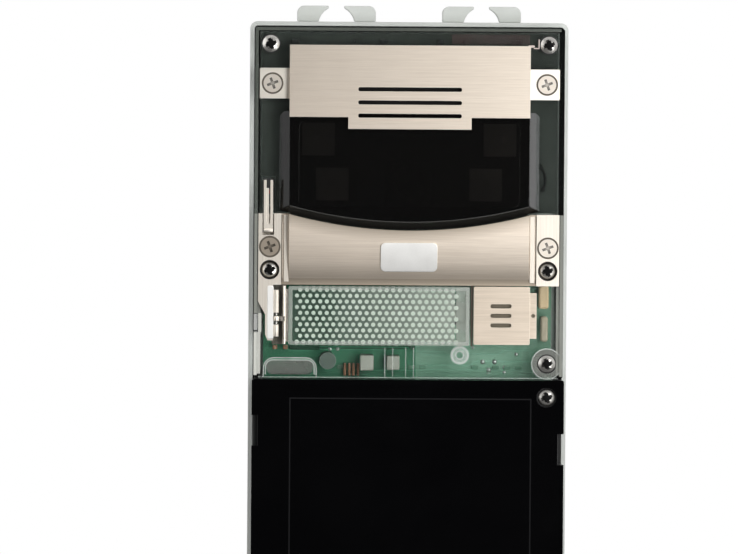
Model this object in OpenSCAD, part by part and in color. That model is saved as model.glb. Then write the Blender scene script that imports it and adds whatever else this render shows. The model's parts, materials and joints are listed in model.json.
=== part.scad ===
// Door intercom station, shown with its front frame taken off.
// The pieces are drawn as seen from the front: x to the right, y up, z out of the wall.
// upright() then stands them up, with the wall face at Y = 0 and the front towards -Y.

/* [Wall tray] */
// Width of the wall tray
tray_w = 98; // [94:0.5:106]
// Height of the wall tray
tray_h = 208; // [206:1:220]
// Depth of the tray from the wall to its rim
tray_depth = 13.5; // [10:0.5:14]
// Thickness of the tray's side walls
tray_wall = 1.3; // [1:0.1:1.6]
// Thickness of the tray's floor
tray_floor = 2.5; // [2:0.1:3]
// Radius of the tray's corners
tray_corner = 2.4; // [2.2:0.1:3]
// Depth of the shallow pockets in the tray's back
pocket_depth = 0.8; // [0.4:0.1:1.2]
// Distance of each pair of hooks from the centre line
hook_x = 22.4; // [18:0.2:28]
// Width of a pair of hooks
hook_pair_w = 24.2; // [22:0.2:27]
// Height of the hooks over the tray's top edge
hook_rise = 4.9; // [4.7:0.1:6]
// Opening between the tips of two hooks
hook_gap = 4.8; // [4.4:0.1:6]
// Radius of the round space between two hooks
hook_bore_r = 5.6; // [5.4:0.1:6]
// Depth of the hooks along the wall's normal
hook_depth = 7; // [5:0.5:9]
// Distance of the hooks' back from the wall
hook_back = 1.5; // [0.5:0.1:3]
// Radius of the wall screw holes
wall_hole_r = 2.25; // [1.75:0.05:2.75]
// Distance between the wall screws across the tray
wall_hole_dx = 62; // [56:1:64]
// Distance between the wall screws up the tray
wall_hole_dy = 156; // [150:1:158]
// Distance of the upper wall screws under the tray's top edge
wall_hole_drop = 14; // [12:0.5:18]
// Radius of the bore for the cable
cable_r = 4; // [3:0.1:5]
// Distance of the cable bore from the centre line
cable_x = 16; // [14:0.5:22]
// Height of the cable bore over the tray's bottom edge
cable_rise = 19; // [16:0.5:20]
// Height of the rubber seal between the tray and the housings
seal_t = 2.5; // [2:0.1:3]

/* [Clear housing] */
// Height of the clear upper housing
housing_h = 108; // [106:0.5:112]
// Distance of the housing's front face from the wall
housing_front = 22; // [21.5:0.1:24]
// Thickness of the housing's front wall
front_wall = 2; // [1.6:0.1:2.4]
// Thickness of the housing's side walls
housing_wall = 1.6; // [1.2:0.1:2]
// Width of the raised lip round the housing's front
lip_w = 1.1; // [0.8:0.1:1.3]
// Height of that lip
lip_h = 1; // [0.5:0.1:1.5]
// Height of the latch notch in the housing's left side
latch_h = 5.5; // [4:0.1:7]
// Depth of the latch notches
latch_depth = 1.4; // [1:0.1:1.5]
// Width of the strip on each side of the metal covers
strip_w = 12.1; // [11.8:0.1:12.6]

/* [Screws] */
// Radius of the screw posts
post_r = 3; // [2.6:0.1:3.2]
// Radius of the pan heads
pan_r = 2.6; // [2.3:0.1:2.8]
// Height of the pan heads
pan_h = 1.8; // [1.5:0.1:2]
// Radius of the screw shanks
shank_r = 1.4; // [1.2:0.05:1.5]
// Width of the dark ring round a pan head
head_ring = 0.4; // [0.3:0.05:0.5]
// Radius of the flush heads in the metal plates
flush_r = 2.85; // [2.6:0.05:3]

/* [Speaker cover] */
// Height of the speaker cover without its tongue
cover_h = 22.1; // [21.6:0.1:24]
// Distance of the cover under the tray's top edge
cover_drop = 7.1; // [6.5:0.1:8]
// Height of the cover over the housing's front
cover_rise = 4; // [3.8:0.1:5]
// Thickness of the pressed sheet metal
sheet_t = 0.8; // [0.6:0.05:0.9]
// Width of the tongue under the cover
tongue_w = 37.8; // [36:0.2:44]
// Height of the tongue
tongue_h = 3.6; // [2:0.1:5]
// Length of the sound slots
slot_len = 31.8; // [28:0.2:34]
// Height of the sound slots
slot_h = 1.25; // [0.8:0.05:1.6]
// Distance between the sound slots
slot_pitch = 4.05; // [3.6:0.05:4.2]
// Height of the screw tabs at the cover's sides
tab_h = 9.4; // [8.5:0.1:11]
// Distance from a tab's outer end to its screw
tab_screw = 3.9; // [3.6:0.1:4.2]
// Radius of the loudspeaker's rim
speaker_r = 14.2; // [13.6:0.1:14.4]

/* [Camera window] */
// Height of the window from its top to the middle of its arched foot
window_h = 36.1; // [35:0.1:38]
// Height of the window over the housing's front
window_rise = 3; // [2.4:0.1:3.1]
// Width of the bevels at the window's sides
window_bevel = 3.1; // [2:0.1:3.3]
// Radius of the arched foot
arch_r = 140; // [125:1:160]
// Width of the bevel along the arched foot
arch_bevel = 2.3; // [2:0.1:3]
// Side of the square infrared lamps
lamp_w = 10; // [7:0.5:10.5]
// Radius of the lens barrel's head
barrel_r = 6; // [5.5:0.1:6.5]

/* [Name band] */
// Height of the band under the window's foot
band_h = 16.6; // [15.6:0.1:18]
// Height of the band's crown over its lower edge
band_rise = 3.6; // [2:0.1:4]
// Height of the plates at the band's ends
plate_h = 21.9; // [20:0.1:21.9]
// Width of the badge
badge_w = 17.4; // [12:0.2:24]
// Height of the badge
badge_h = 8.9; // [6:0.1:9.5]
// Thickness of the badge
badge_t = 0.9; // [0.5:0.1:1.5]

/* [Call button] */
// Height of the call button
key_h = 18.2; // [17:0.1:19]
// Height of the key's front over the housing's front
key_rise = 1.4; // [1:0.1:2]
// Thickness of the key's front and of the sides' foot
key_wall = 1.2; // [1:0.1:1.5]
// Depth of the key behind the housing's front
key_depth = 3.6; // [3.4:0.1:4.5]
// Distance of the hinge pin from the key
hinge_reach = 3.7; // [3.4:0.1:4]
// Radius of the hinge pin
pin_r = 0.4; // [0.3:0.05:0.45]
// Radius of the hinge knuckles
knuckle_r = 0.8; // [0.7:0.05:0.85]
// Radius of the bright bar along the key
bar_r = 0.5; // [0.4:0.05:0.6]

/* [Microphone] */
// Width of the microphone cover
mic_w = 17.3; // [15:0.1:17.8]
// Height of the microphone cover
mic_h = 17.9; // [16:0.1:18.4]
// Height of the cover over the housing's front
mic_rise = 2; // [1.4:0.1:2.6]
// Length of the microphone slots
mic_slot_len = 6.4; // [5:0.1:8]
// Distance between the microphone slots
mic_slot_pitch = 2.95; // [2.5:0.05:3.5]
// Radius of the microphone capsule
capsule_r = 3; // [2.5:0.1:3.2]

/* [Boards] */
// Gap between the tray's floor and the main board
board_gap = 3.9; // [3.4:0.1:4.2]
// Thickness of the circuit boards
board_t = 1.6; // [1.2:0.1:1.8]
// Height of the relay over its board
relay_h = 9; // [7:0.2:9.6]
// Height of the low network jack over its board
jack_h = 8.6; // [8:0.1:9]

/* [Tamper lever] */
// Width of the forked blade
blade_w = 2.8; // [2.4:0.1:3]
// Height of the blade over its pin
blade_h = 15.6; // [14:0.2:16]
// Thickness of the blade
blade_t = 0.6; // [0.4:0.05:0.7]

/* [Display module] */
// How far the tray shows beside the display glass
glass_inset = 1; // [0.6:0.1:2]
// Thickness of the display glass
glass_t = 2; // [1.5:0.1:2.5]
// Radius of the glass corners
glass_corner = 0.6; // [0.5:0.1:2]
// Distance of the display panel from the tray's sides
panel_inset = 10.5; // [10:0.1:13]
// Height of the display panel
panel_h = 61; // [58:0.5:62]
// Thickness of the display panel
panel_t = 3.2; // [2.6:0.1:3.3]
// Height of the display's latch notches
display_latch_h = 9.4; // [7:0.1:11]

/* [Hidden] */
$fn = 64;
// Fineness of the few very large circles
arc_fn = 360;
// How far a cut runs past a face
past = 1;

// Clearances
slip_fit = 0.15;
skirt_clear = 0.25;
seat_gap = 0.3;
screw_play = 0.1;
pin_play = 0.05;
edge_gap = 0.4;
press_gap = 0.2;
touch_gap = 0.3;
pilot_r = shank_r + screw_play;
hole_r = shank_r + press_gap;
ring_r = pan_r + head_ring;

// Levels out from the wall
skirt_z = tray_floor + seal_t;
board_z0 = tray_floor + board_gap;
board_z1 = board_z0 + board_t;
inner_z = housing_front - front_wall;
carrier_gap = 3;
carrier_t = 2;
carrier_z1 = inner_z - carrier_gap;
carrier_z0 = carrier_z1 - carrier_t;
foot_z = housing_front + sheet_t;
plate_z = foot_z + sheet_t;
cover_z = housing_front + cover_rise;
window_z = housing_front + window_rise;
key_z = housing_front + key_rise;
glass_z = housing_front + glass_t;
head_sink = 1.2;
pan_seat = housing_front - head_sink;

// Places across the front
plate_gap = 2.3;
housing_w = tray_w - 2 * (tray_wall + slip_fit);
housing_corner = 1.2;
skirt_in = housing_w / 2 - housing_wall;
screw_x = skirt_in - skirt_clear - post_r;
lip_in = housing_w / 2 - lip_w;
cover_w = tray_w - 2 * strip_w;
window_base_w = cover_w + 2 * window_bevel;
glass_w = tray_w - 2 * glass_inset;
panel_w = tray_w - 2 * panel_inset;
tab_out = lip_in - edge_gap;
cover_screw_x = tab_out - tab_screw;
plate_out = lip_in - skirt_clear;
plate_in = cover_w / 2 + plate_gap;
plate_mid = (plate_in + plate_out) / 2;

// Distances under the top edge of the speaker cover
tab_drop = 11.85;
slot_drop = 13.5;
speaker_drop = 14.6;

// Distances over the foot of the window
camera_rise = 13.7;
lamp_row_rise = 13.8;
carrier_rise = 5.1;
crown_rise = 4.7;

// Distances over the foot of the end plates and of the key
band_screw_rise = 11.7;
mid_screw_rise = 4.6;
latch_rise = 6.8;
leaf_rise = 8.1;

// Distances of the corner screws from the ends of the housings
top_screw_drop = 5.35;
low_screw_rise = 4.7;
display_screw_inset = 5.3;

// Places up the front
window_tuck = 1.7;
plate_drop = 0.6;
top_y = tray_h / 2;
housing_top = top_y - tray_wall - slip_fit;
housing_bottom = housing_top - housing_h;
display_top = housing_bottom - seat_gap;
display_bottom = tray_wall + slip_fit - top_y;
cover_top = top_y - cover_drop;
cover_bottom = cover_top - cover_h;
cover_mid_y = cover_top - tab_drop;
slot_y = cover_top - slot_drop;
speaker_y = cover_top - speaker_drop;
window_top = cover_bottom + window_tuck;
window_foot = window_top - window_h;
camera_y = window_foot + camera_rise;
upper_lamp_y = camera_y + lamp_row_rise;
carrier_bottom = window_foot + carrier_rise;
carrier_top = housing_top - housing_wall - seat_gap;
band_bottom = window_foot - band_h;
plate_bottom = band_bottom - plate_drop;
plate_top = plate_bottom + plate_h;
band_screw_y = plate_bottom + band_screw_rise;
mid_screw_y = plate_bottom + mid_screw_rise;
top_screw_y = housing_top - top_screw_drop;
low_screw_y = housing_bottom + low_screw_rise;
key_top = plate_bottom - seat_gap;
key_bottom = key_top - key_h;
latch_y = key_bottom + latch_rise;
key_mid_y = (key_top + key_bottom) / 2;

// Screw places: clear housing and display module
housing_screw_at = [
    [-screw_x, top_screw_y], [screw_x, top_screw_y], [-screw_x, mid_screw_y],
    [screw_x, mid_screw_y], [screw_x, low_screw_y],
];
display_screw_y = display_top - display_screw_inset;
display_foot_screw_y = display_bottom + display_screw_inset;
display_screw_at = [
    [screw_x, display_screw_y], [-screw_x, display_foot_screw_y], [screw_x, display_foot_screw_y],
];
post_at = concat(housing_screw_at, display_screw_at);
wall_boss_r = wall_hole_r + 2.2;
cable_y = cable_rise - top_y;
sleeve_w = 3;
wall_y1 = top_y - wall_hole_drop;
wall_hole_at = [for (sx = [-1, 1]) for (y = [wall_y1, wall_y1 - wall_hole_dy]) [sx * wall_hole_dx / 2, y]];

// Arched foot of the window
arch_y = window_foot + arch_r + arch_bevel;
arch_clear = 0.25;

// Opening behind the window
aperture_inset = 3;
aperture_half = cover_w / 2 - aperture_inset;
aperture_y0 = camera_y - barrel_r - 2 * edge_gap;
aperture_y1 = window_top - aperture_inset;
aperture_r = 2;
window_wall = 1.6;

// Camera: its board, holder and lens
camera_board_z1 = carrier_z0 - 3;
camera_board_t = 1.2;
camera_post_x = 10.4;
holder_half = 7;
holder_space = holder_half + edge_gap;
holder_z1 = carrier_z1 + 1;
thread_r = 4.6;
lens_r = 3.6;
lens_mouth_r = 5.2;
lens_z1 = inner_z + 1.5;
mouth_depth = 1.1;

// Loudspeaker: its rim, its hole in the carrier and its magnet
rim_t = 0.8;
rim_z = carrier_z1 + rim_t;
speaker_hole_r = speaker_r - 1.6;
magnet_r = 8.6;
magnet_z1 = carrier_z0 - 4;
magnet_t = 4;
yoke_t = 1.4;
surround_mid = speaker_r - 3.7;

// Lamps and lead behind the window
lamp_inset = 9;
lamp_step = 4.3;
upper_lamp_x = cover_w / 2 - lamp_inset;
lower_lamp_x = upper_lamp_x - lamp_step;
lamp_board_t = 1.2;
lamp_base_t = 1;
lead_r = 0.45;
lead_bend = 6;
lead_from = -30;
lead_sweep = 75;
lead_inset = 4;
lead_rise = 10.2;
lead_x = window_base_w / 2 - lead_inset;
lead_y = carrier_bottom + lead_rise;
plug_w = 1.5;

// Curved band
crown_y = window_foot + crown_rise;
band_reach = crown_y - band_bottom;
band_r = (pow(band_reach, 2) + pow(band_rise, 2)) / (2 * band_rise);
band_axis_z = foot_z + band_rise - band_r;
badge_rise = 8.1;
badge_y = band_bottom + badge_rise;

// Microphone
mic_x1 = cover_w / 2 + edge_gap;
mic_x0 = mic_x1 - mic_w;
mic_top = plate_bottom - press_gap;
mic_bottom = mic_top - mic_h;
mic_slot_inset = 8.4;
mic_x = mic_x0 + mic_slot_inset;
mic_y = mic_bottom + mic_h / 2;
mic_lip_w = 2.1;
mic_lip_cut = 1.9;
boot_wall = 2;
collar_h = 4.5;
collar_wall = 1.1;
capsule_drop = 4;

// Call button and its hinge
key_x0 = -cover_w / 2;
key_gap = 1.1;
key_x1 = mic_x0 - key_gap;
hinge_x = hinge_reach - key_x0;
key_foot_z = housing_front - key_depth;
hinge_z = foot_z + sheet_t / 2;
bar_gap = 1.25;
bar_x = key_x0 - bar_gap;
bar_rise = 1;
bar_z = housing_front + bar_rise;
leaf_y = key_bottom + leaf_rise;
leaf_h = 1.5;
leaf_t = 0.8;
knuckle_gap = 1.1;
pad_w = 4.6;
pad_h = 8;
switch_inset = 3.1;
switch_x = key_x1 - switch_inset;
switch_w = 6;
switch_h = 3.5;
plunger_r = 1.6;
plunger_sink = 1.4;

// Bracket arm beside the hinge
arm_w = 2.4;
arm_in = hinge_x + knuckle_r + press_gap;
arm_out = arm_in + arm_w;
arm_bottom = key_bottom + 1.4;
// Lower and upper end of each fixed knuckle
fixed_knuckles = [
    [arm_bottom + 1.2, leaf_y - leaf_h / 2 - knuckle_gap],
    [leaf_y + leaf_h / 2 + knuckle_gap, key_top - 1.3],
];

// Boards
board_inset = 1.45;
board_half = skirt_in - board_inset;
board_drop = 3.4;
board_top = carrier_bottom - board_drop;
board_foot_rise = 4.5;
board_foot = display_bottom + board_foot_rise;
connector_rise = 1;
connector_y = board_foot + connector_rise;

// Terminal block in the board's lower left corner
terminal_inset = 1.8;
terminal_x0 = post_r + terminal_inset - screw_x;
terminal_pitch = 4.2;
terminal_count = 4;
terminal_x1 = terminal_x0 + terminal_pitch * terminal_count;
terminal_h = 8.6;
terminal_d = 8;
terminal_well_r = 1.6;
terminal_well_d = 5;
terminal_screw_rise = 3;
terminal_screw_y = connector_y + terminal_screw_rise;

// Network jack beside it, at the edge of the board's tongue
jack_gap = 1.5;
jack_side = 15;
jack_x1 = terminal_x1 + jack_gap + jack_side;
jack_y1 = connector_y + jack_side;
jack_edge = 0.6;
tongue_x1 = jack_x1 + jack_edge;

// Display module
panel_drop = 4.4;
panel_top = display_top - panel_drop;
panel_gap = 0.1;
panel_z1 = housing_front - panel_gap;
panel_z0 = panel_z1 - panel_t;
display_board_drop = 10;
display_board_h = 55;
display_board_top = display_top - display_board_drop;
display_board_z0 = panel_z0 - board_t;
display_board_half = screw_x - edge_gap;
display_boss_r = 1.5;
display_boss_x = panel_w / 2 + edge_gap + display_boss_r;
display_boss_drops = [14.5, 61];
display_boss_at = [for (sx = [-1, 1]) for (d = display_boss_drops) [sx * display_boss_x, display_top - d]];
left_latch_drop = 15.8;
right_latch_drop = 21.2;
left_latch_y = display_top - left_latch_drop;
right_latch_y = display_top - right_latch_drop;

// Ribbon from the display board to the top of the tongue
ribbon_inset = 10;
ribbon_w = 16;
ribbon_x = tongue_x1 - ribbon_inset;
ribbon_t = 0.2;
ribbon_run = 9;
fold_r = (display_board_z0 - board_z1) / 2;
fold_gap = 3.75;
fold_y = jack_y1 + fold_gap + fold_r;
fold_drop = 2;
tongue_top = fold_y + fold_drop;

// Screws of the main board
standoff_r = 2.5;
board_screw_r = 1;
upper_screw_inset = 8.5;
upper_screw_drop = 4;
lower_screw_inset = 6;
lower_screw_rise = 14;
foot_screw_inset = 1;
foot_screw_rise = 15;
board_screw_at = [
    [upper_screw_inset - board_half, board_top - upper_screw_drop],
    [board_half - upper_screw_inset, board_top - upper_screw_drop],
    [lower_screw_inset - board_half, tongue_top + lower_screw_rise],
    [board_half - lower_screw_inset, tongue_top + lower_screw_rise],
    [foot_screw_inset - screw_x, board_foot + foot_screw_rise],
];

// Grip pocket, ring boss and the parts in the strip under the key
grip_out = 1.8;
grip_w = 16.4;
grip_x0 = -screw_x - grip_out;
grip_x1 = grip_x0 + grip_w;
ring_inset = 3;
ring_drop = 2.9;
ring_x = key_x1 - ring_inset;
ring_y = key_bottom - ring_drop;
strip_rise = 2.9;
strip_y = housing_bottom + housing_wall + strip_rise;
relay_inset = 21;
relay_x = board_half - relay_inset;
relay_half_w = 9.5;

// Tamper lever
blade_inset = 3;
blade_x = blade_inset - plate_out;
tamper_y = band_screw_y + flush_r + 2;
tamper_z = foot_z + sheet_t / 2;
tamper_barrel_r = 0.75;
tamper_pin_r = 0.35;
tamper_slot = blade_w / 2 + edge_gap;
tamper_top = tamper_y + blade_h;
plunge_x = blade_x - blade_w / 2 + 1.1;
plunge_y = tamper_top - 3.7;
tamper_body_d = 6;
tamper_body_z = carrier_z1 - tamper_body_d;
tamper_rim = 1.3;
tamper_body_h = 8;
tamper_body_w = 3.2;
tamper_plunger_r = 0.8;
tongue_drop = 0.35;
plunge_z = tamper_z - blade_t / 2 - tongue_drop - touch_gap;

// Stands the drawing up
module upright() {
    rotate([90, 0, 0]) children();
}

// Box between two corners
module block(x0, x1, y0, y1, z0, z1) {
    translate([x0, y0, z0]) cube([x1 - x0, y1 - y0, z1 - z0]);
}

// Rectangle with round corners, between two corners
module round_rect(x0, x1, y0, y1, r) {
    translate([x0 + r, y0]) square([x1 - x0 - 2 * r, y1 - y0]);
    translate([x0, y0 + r]) square([x1 - x0, y1 - y0 - 2 * r]);
    for (x = [x0 + r, x1 - r]) for (y = [y0 + r, y1 - r]) translate([x, y]) circle(r);
}

// Box with round upright edges
module round_block(x0, x1, y0, y1, z0, z1, r) {
    translate([0, 0, z0]) linear_extrude(z1 - z0) round_rect(x0, x1, y0, y1, r);
}

// Round rods out of the wall, up the front and across the front
module rod_out(x, y, z0, z1, r) {
    translate([x, y, z0]) cylinder(r = r, h = z1 - z0);
}

module rod_up(x, z, y0, y1, r) {
    translate([x, y0, z]) rotate([-90, 0, 0]) cylinder(r = r, h = y1 - y0);
}

module rod_across(y, z, x0, x1, r) {
    translate([x0, y, z]) rotate([0, 90, 0]) cylinder(r = r, h = x1 - x0);
}

// Cross-shaped driver recess, open towards the front
module driver_cross(span, width, depth) {
    for (a = [20, 110]) rotate([0, 0, a])
        block(-span / 2, span / 2, -width / 2, width / 2, -depth, past);
    translate([0, 0, -depth]) cylinder(r = width * 0.75, h = depth + past);
}

// Pan-head screw with its head seated at z = 0
module pan_screw(length) {
    dome_drop = 0.6;
    dome_r = (pow(pan_r, 2) + pow(dome_drop, 2)) / (2 * dome_drop);
    difference() {
        union() {
            intersection() {
                cylinder(r = pan_r, h = pan_h);
                translate([0, 0, pan_h - dome_r]) sphere(r = dome_r, $fn = 96);
            }
            translate([0, 0, -length]) cylinder(r = shank_r, h = length + past / 2);
        }
        translate([0, 0, pan_h]) driver_cross(pan_r * 1.35, 1, 1.1);
    }
}

// Flush screw with the top of its head at z = 0
module flush_screw(length) {
    difference() {
        union() {
            translate([0, 0, -sheet_t]) cylinder(r1 = shank_r, r2 = flush_r, h = sheet_t);
            translate([0, 0, -length]) cylinder(r = shank_r, h = length - sheet_t / 2);
        }
        driver_cross(flush_r * 1.25, 0.8, 0.5);
    }
}

// Cone and hole that take a flush screw in a plate whose front is at z
module flush_hole(x, y, z) {
    translate([x, y, z - sheet_t])
        cylinder(r1 = hole_r, r2 = flush_r + press_gap, h = sheet_t);
    rod_out(x, y, z - sheet_t - past, z, hole_r);
    rod_out(x, y, z - press_gap / 4, z + past, flush_r + press_gap);
}

// Space that the window's arched foot and sides take out of their neighbours
module arch_space(z0, z1) {
    half = window_base_w / 2 + arch_clear;
    intersection() {
        translate([0, arch_y, z0]) cylinder(r = arch_r + arch_bevel + arch_clear, h = z1 - z0, $fn = arc_fn);
        block(-half, half, window_foot - past, arch_y, z0, z1);
    }
}

module back_tray() {
    half = tray_w / 2;
    in_x = half - tray_wall;
    in_y = top_y - tray_wall;
    centre_web = 4;
    color("gainsboro") difference() {
        union() {
            difference() {
                round_block(-half, half, -top_y, top_y, 0, tray_depth, tray_corner);
                round_block(-in_x, in_x, -in_y, in_y, tray_floor, tray_depth + past, tray_corner - tray_wall);
            }
            for (p = post_at) rod_out(p[0], p[1], tray_floor / 2, carrier_z0, post_r);
            for (p = board_screw_at) rod_out(p[0], p[1], tray_floor / 2, board_z0, standoff_r);
            for (p = wall_hole_at) rod_out(p[0], p[1], tray_floor / 2, tray_floor + past, wall_boss_r);
            block(blade_x - tamper_body_w / 2, blade_x + tamper_body_w / 2, plunge_y - tamper_body_h / 2,
                plunge_y + tamper_body_h / 2, tray_floor / 2, tamper_body_z);
        }
        for (p = post_at) rod_out(p[0], p[1], tray_floor + past, carrier_z0 + past, pilot_r);
        for (p = board_screw_at)
            rod_out(p[0], p[1], tray_floor + past / 2, board_z0 + past, board_screw_r + screw_play);
        for (p = wall_hole_at) rod_out(p[0], p[1], -past, tray_floor + 2 * past, wall_hole_r);
        rod_out(cable_x, cable_y, -past, tray_floor + past, cable_r + sleeve_w);
        for (sx = [-1, 1]) mirror([sx < 0 ? 1 : 0, 0, 0])
            round_block(centre_web, wall_hole_dx / 2 - wall_boss_r - past, cable_y + cable_r + 2 * sleeve_w,
                top_y - 20, -past, pocket_depth, sleeve_w);
    }
}

module top_hooks() {
    hook_corner = 2.2;
    half = hook_pair_w / 2;
    color("gainsboro") for (side = [-1, 1]) translate([side * hook_x, top_y, hook_back])
        linear_extrude(hook_depth) for (m = [0, 1]) mirror([m, 0]) difference() {
            union() {
                translate([hook_gap / 2, 0]) square([half - hook_gap / 2, hook_rise - hook_corner]);
                translate([hook_gap / 2, 0]) square([half - hook_gap / 2 - hook_corner, hook_rise]);
                translate([half - hook_corner, hook_rise - hook_corner]) circle(hook_corner);
            }
            translate([0, hook_rise - hook_bore_r - 0.3]) circle(hook_bore_r);
        }
}

module tray_seal() {
    color("dimgray") difference() {
        round_block(-housing_w / 2, housing_w / 2, display_bottom, housing_top, tray_floor, skirt_z, 1);
        block(-skirt_in, skirt_in, display_bottom + housing_wall, housing_top - housing_wall,
            tray_floor - past, skirt_z + past);
    }
}

module cable_grommet() {
    flange_w = 4.5;
    flange_t = 1.2;
    length = 6;
    color("black") difference() {
        union() {
            rod_out(cable_x, cable_y, 0, tray_floor + flange_t / 2, cable_r + sleeve_w - pin_play);
            rod_out(cable_x, cable_y, tray_floor, tray_floor + flange_t, cable_r + flange_w);
            rod_out(cable_x, cable_y, tray_floor, length, cable_r + sleeve_w / 2);
        }
        rod_out(cable_x, cable_y, -past, length + past, cable_r);
    }
}

// Shell with an open back and a raised lip, the start of the clear housing
module housing_shell() {
    round_block(-housing_w / 2, housing_w / 2, housing_bottom, housing_top, skirt_z, housing_front,
        housing_corner);
    difference() {
        round_block(-housing_w / 2, housing_w / 2, housing_bottom, housing_top, housing_front - past,
            housing_front + lip_h, housing_corner);
        block(-lip_in, lip_in, housing_bottom + lip_w, housing_top - lip_w, housing_front,
            housing_front + lip_h + past);
    }
}

// Wall that closes the latch notch on the inside
module latch_wall(side, y, h, z1) {
    x1 = housing_w / 2 - latch_depth;
    mirror([side < 0 ? 1 : 0, 0, 0])
        block(x1 - housing_wall, housing_w / 2 - past / 2, y - h / 2 - housing_wall, y + h / 2 + housing_wall,
            tray_depth, z1);
}

// Notch that takes a latch of the front frame
module latch_notch(side, y, h, z1) {
    mirror([side < 0 ? 1 : 0, 0, 0])
        block(housing_w / 2 - latch_depth, tray_w, y - h / 2, y + h / 2, tray_depth + housing_wall, z1);
}

module front_housing() {
    grip_h = 5.3;
    grip_wall = 0.9;
    sleeve_r = shank_r + 1.2;
    ring_boss_r = 2.2;
    ring_bore_r = 1;
    low_boss_r = post_r + 1.8;
    rib_half_w = 1.2;
    // Distances of the ribs from the grip pocket
    rib_gaps = [22.2, 28.6];
    color("lightcyan", 0.4) difference() {
        union() {
            difference() {
                housing_shell();
                block(-skirt_in, skirt_in, housing_bottom + housing_wall, housing_top - housing_wall,
                    skirt_z - past, inner_z);
                block(-skirt_in, skirt_in, housing_bottom - past, housing_bottom + 2 * housing_wall,
                    skirt_z - past, carrier_z0);
            }
            for (i = [0 : len(housing_screw_at) - 1]) {
                p = housing_screw_at[i];
                rod_out(p[0], p[1], i < 2 ? carrier_z1 : carrier_z0, inner_z + past, post_r);
            }
            for (sx = [-1, 1]) {
                rod_out(sx * cover_screw_x, cover_mid_y, carrier_z1, inner_z + past, sleeve_r);
                rod_out(sx * plate_mid, band_screw_y, carrier_z0, inner_z + past, sleeve_r);
            }
            rod_out(mic_x, mic_y, inner_z - collar_h, inner_z + past, capsule_r + boot_wall + collar_wall);
            rod_out(ring_x, ring_y, board_z1 + seat_gap, inner_z + past, ring_boss_r);
            rod_out(screw_x, low_screw_y, carrier_z1, inner_z + past, low_boss_r);
            for (d = rib_gaps) block(grip_x1 + d - rib_half_w, grip_x1 + d + rib_half_w, housing_bottom,
                key_bottom - edge_gap - past, carrier_z1, inner_z + past);
            block(grip_x0, grip_x1, housing_bottom, housing_bottom + grip_h + grip_wall, carrier_z0,
                inner_z + past);
            latch_wall(-1, latch_y, latch_h, housing_front);
        }
        for (p = housing_screw_at) {
            rod_out(p[0], p[1], carrier_z0 - past, housing_front + lip_h + past, hole_r);
            rod_out(p[0], p[1], pan_seat, housing_front + lip_h + past, ring_r);
        }
        for (sx = [-1, 1]) {
            rod_out(sx * cover_screw_x, cover_mid_y, carrier_z1 - past, housing_front + past, pilot_r);
            rod_out(sx * plate_mid, band_screw_y, carrier_z0 - past, housing_front + past, pilot_r);
        }
        round_block(-slot_len / 2, slot_len / 2, window_top + 1.5, slot_y + 7, inner_z - past,
            housing_front + past, aperture_r);
        round_block(-aperture_half, aperture_half, aperture_y0, aperture_y1, inner_z - past,
            housing_front + past, aperture_r);
        block(bar_x - bar_r - edge_gap, key_x1 + edge_gap, key_bottom - edge_gap, key_top + edge_gap,
            inner_z - past, housing_front + past);
        rod_out(mic_x, mic_y, inner_z - past, housing_front + past, capsule_r - edge_gap);
        rod_out(mic_x, mic_y, inner_z - collar_h - past, inner_z, capsule_r + boot_wall + pin_play);
        rod_out(ring_x, ring_y, board_z1, housing_front + past, ring_bore_r);
        round_block(grip_x0 + grip_wall, grip_x1 - grip_wall, housing_bottom + lip_w, housing_bottom + grip_h,
            carrier_z0 + grip_wall, housing_front + past, 2);
        block(blade_x - tamper_slot, blade_x + tamper_slot, tamper_y - tamper_rim, tamper_top + edge_gap,
            inner_z - past, housing_front + past);
        latch_notch(-1, latch_y, latch_h, housing_front + lip_h + past);
    }
}

module housing_screws() {
    color("silver") for (p = housing_screw_at)
        translate([p[0], p[1], pan_seat]) pan_screw(pan_seat - tray_floor - 2 * past);
}

module inner_carrier() {
    half = skirt_in - seat_gap;
    leg_inset = 9.65;
    leg_x = half - leg_inset;
    leg_r = 2.2;
    color("black") difference() {
        union() {
            round_block(-half, half, carrier_bottom, carrier_top, carrier_z0, carrier_z1, 1);
            for (sx = [-1, 1]) {
                rod_out(sx * leg_x, carrier_bottom + leg_r + past, tray_floor, carrier_z0 + past, leg_r);
                rod_out(sx * camera_post_x, camera_y, camera_board_z1, carrier_z0 + past, 1.5);
            }
        }
        translate([0, speaker_y, carrier_z0 - past]) cylinder(r = speaker_hole_r, h = carrier_t + 2 * past);
        for (i = [0, 1]) rod_out(housing_screw_at[i][0], housing_screw_at[i][1], carrier_z0 - past,
            carrier_z1 + past, hole_r);
        block(-holder_space, holder_space, camera_y - holder_space, camera_y + holder_space,
            carrier_z0 - past, carrier_z1 + past);
        block(-half - past, blade_x + tamper_slot + edge_gap, carrier_bottom - past, tamper_top + past,
            carrier_z0 - past, carrier_z1 + past);
        for (sx = [-1, 1]) rod_out(sx * cover_screw_x, cover_mid_y, carrier_z0 - past, carrier_z1 + past,
            hole_r);
    }
}

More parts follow.
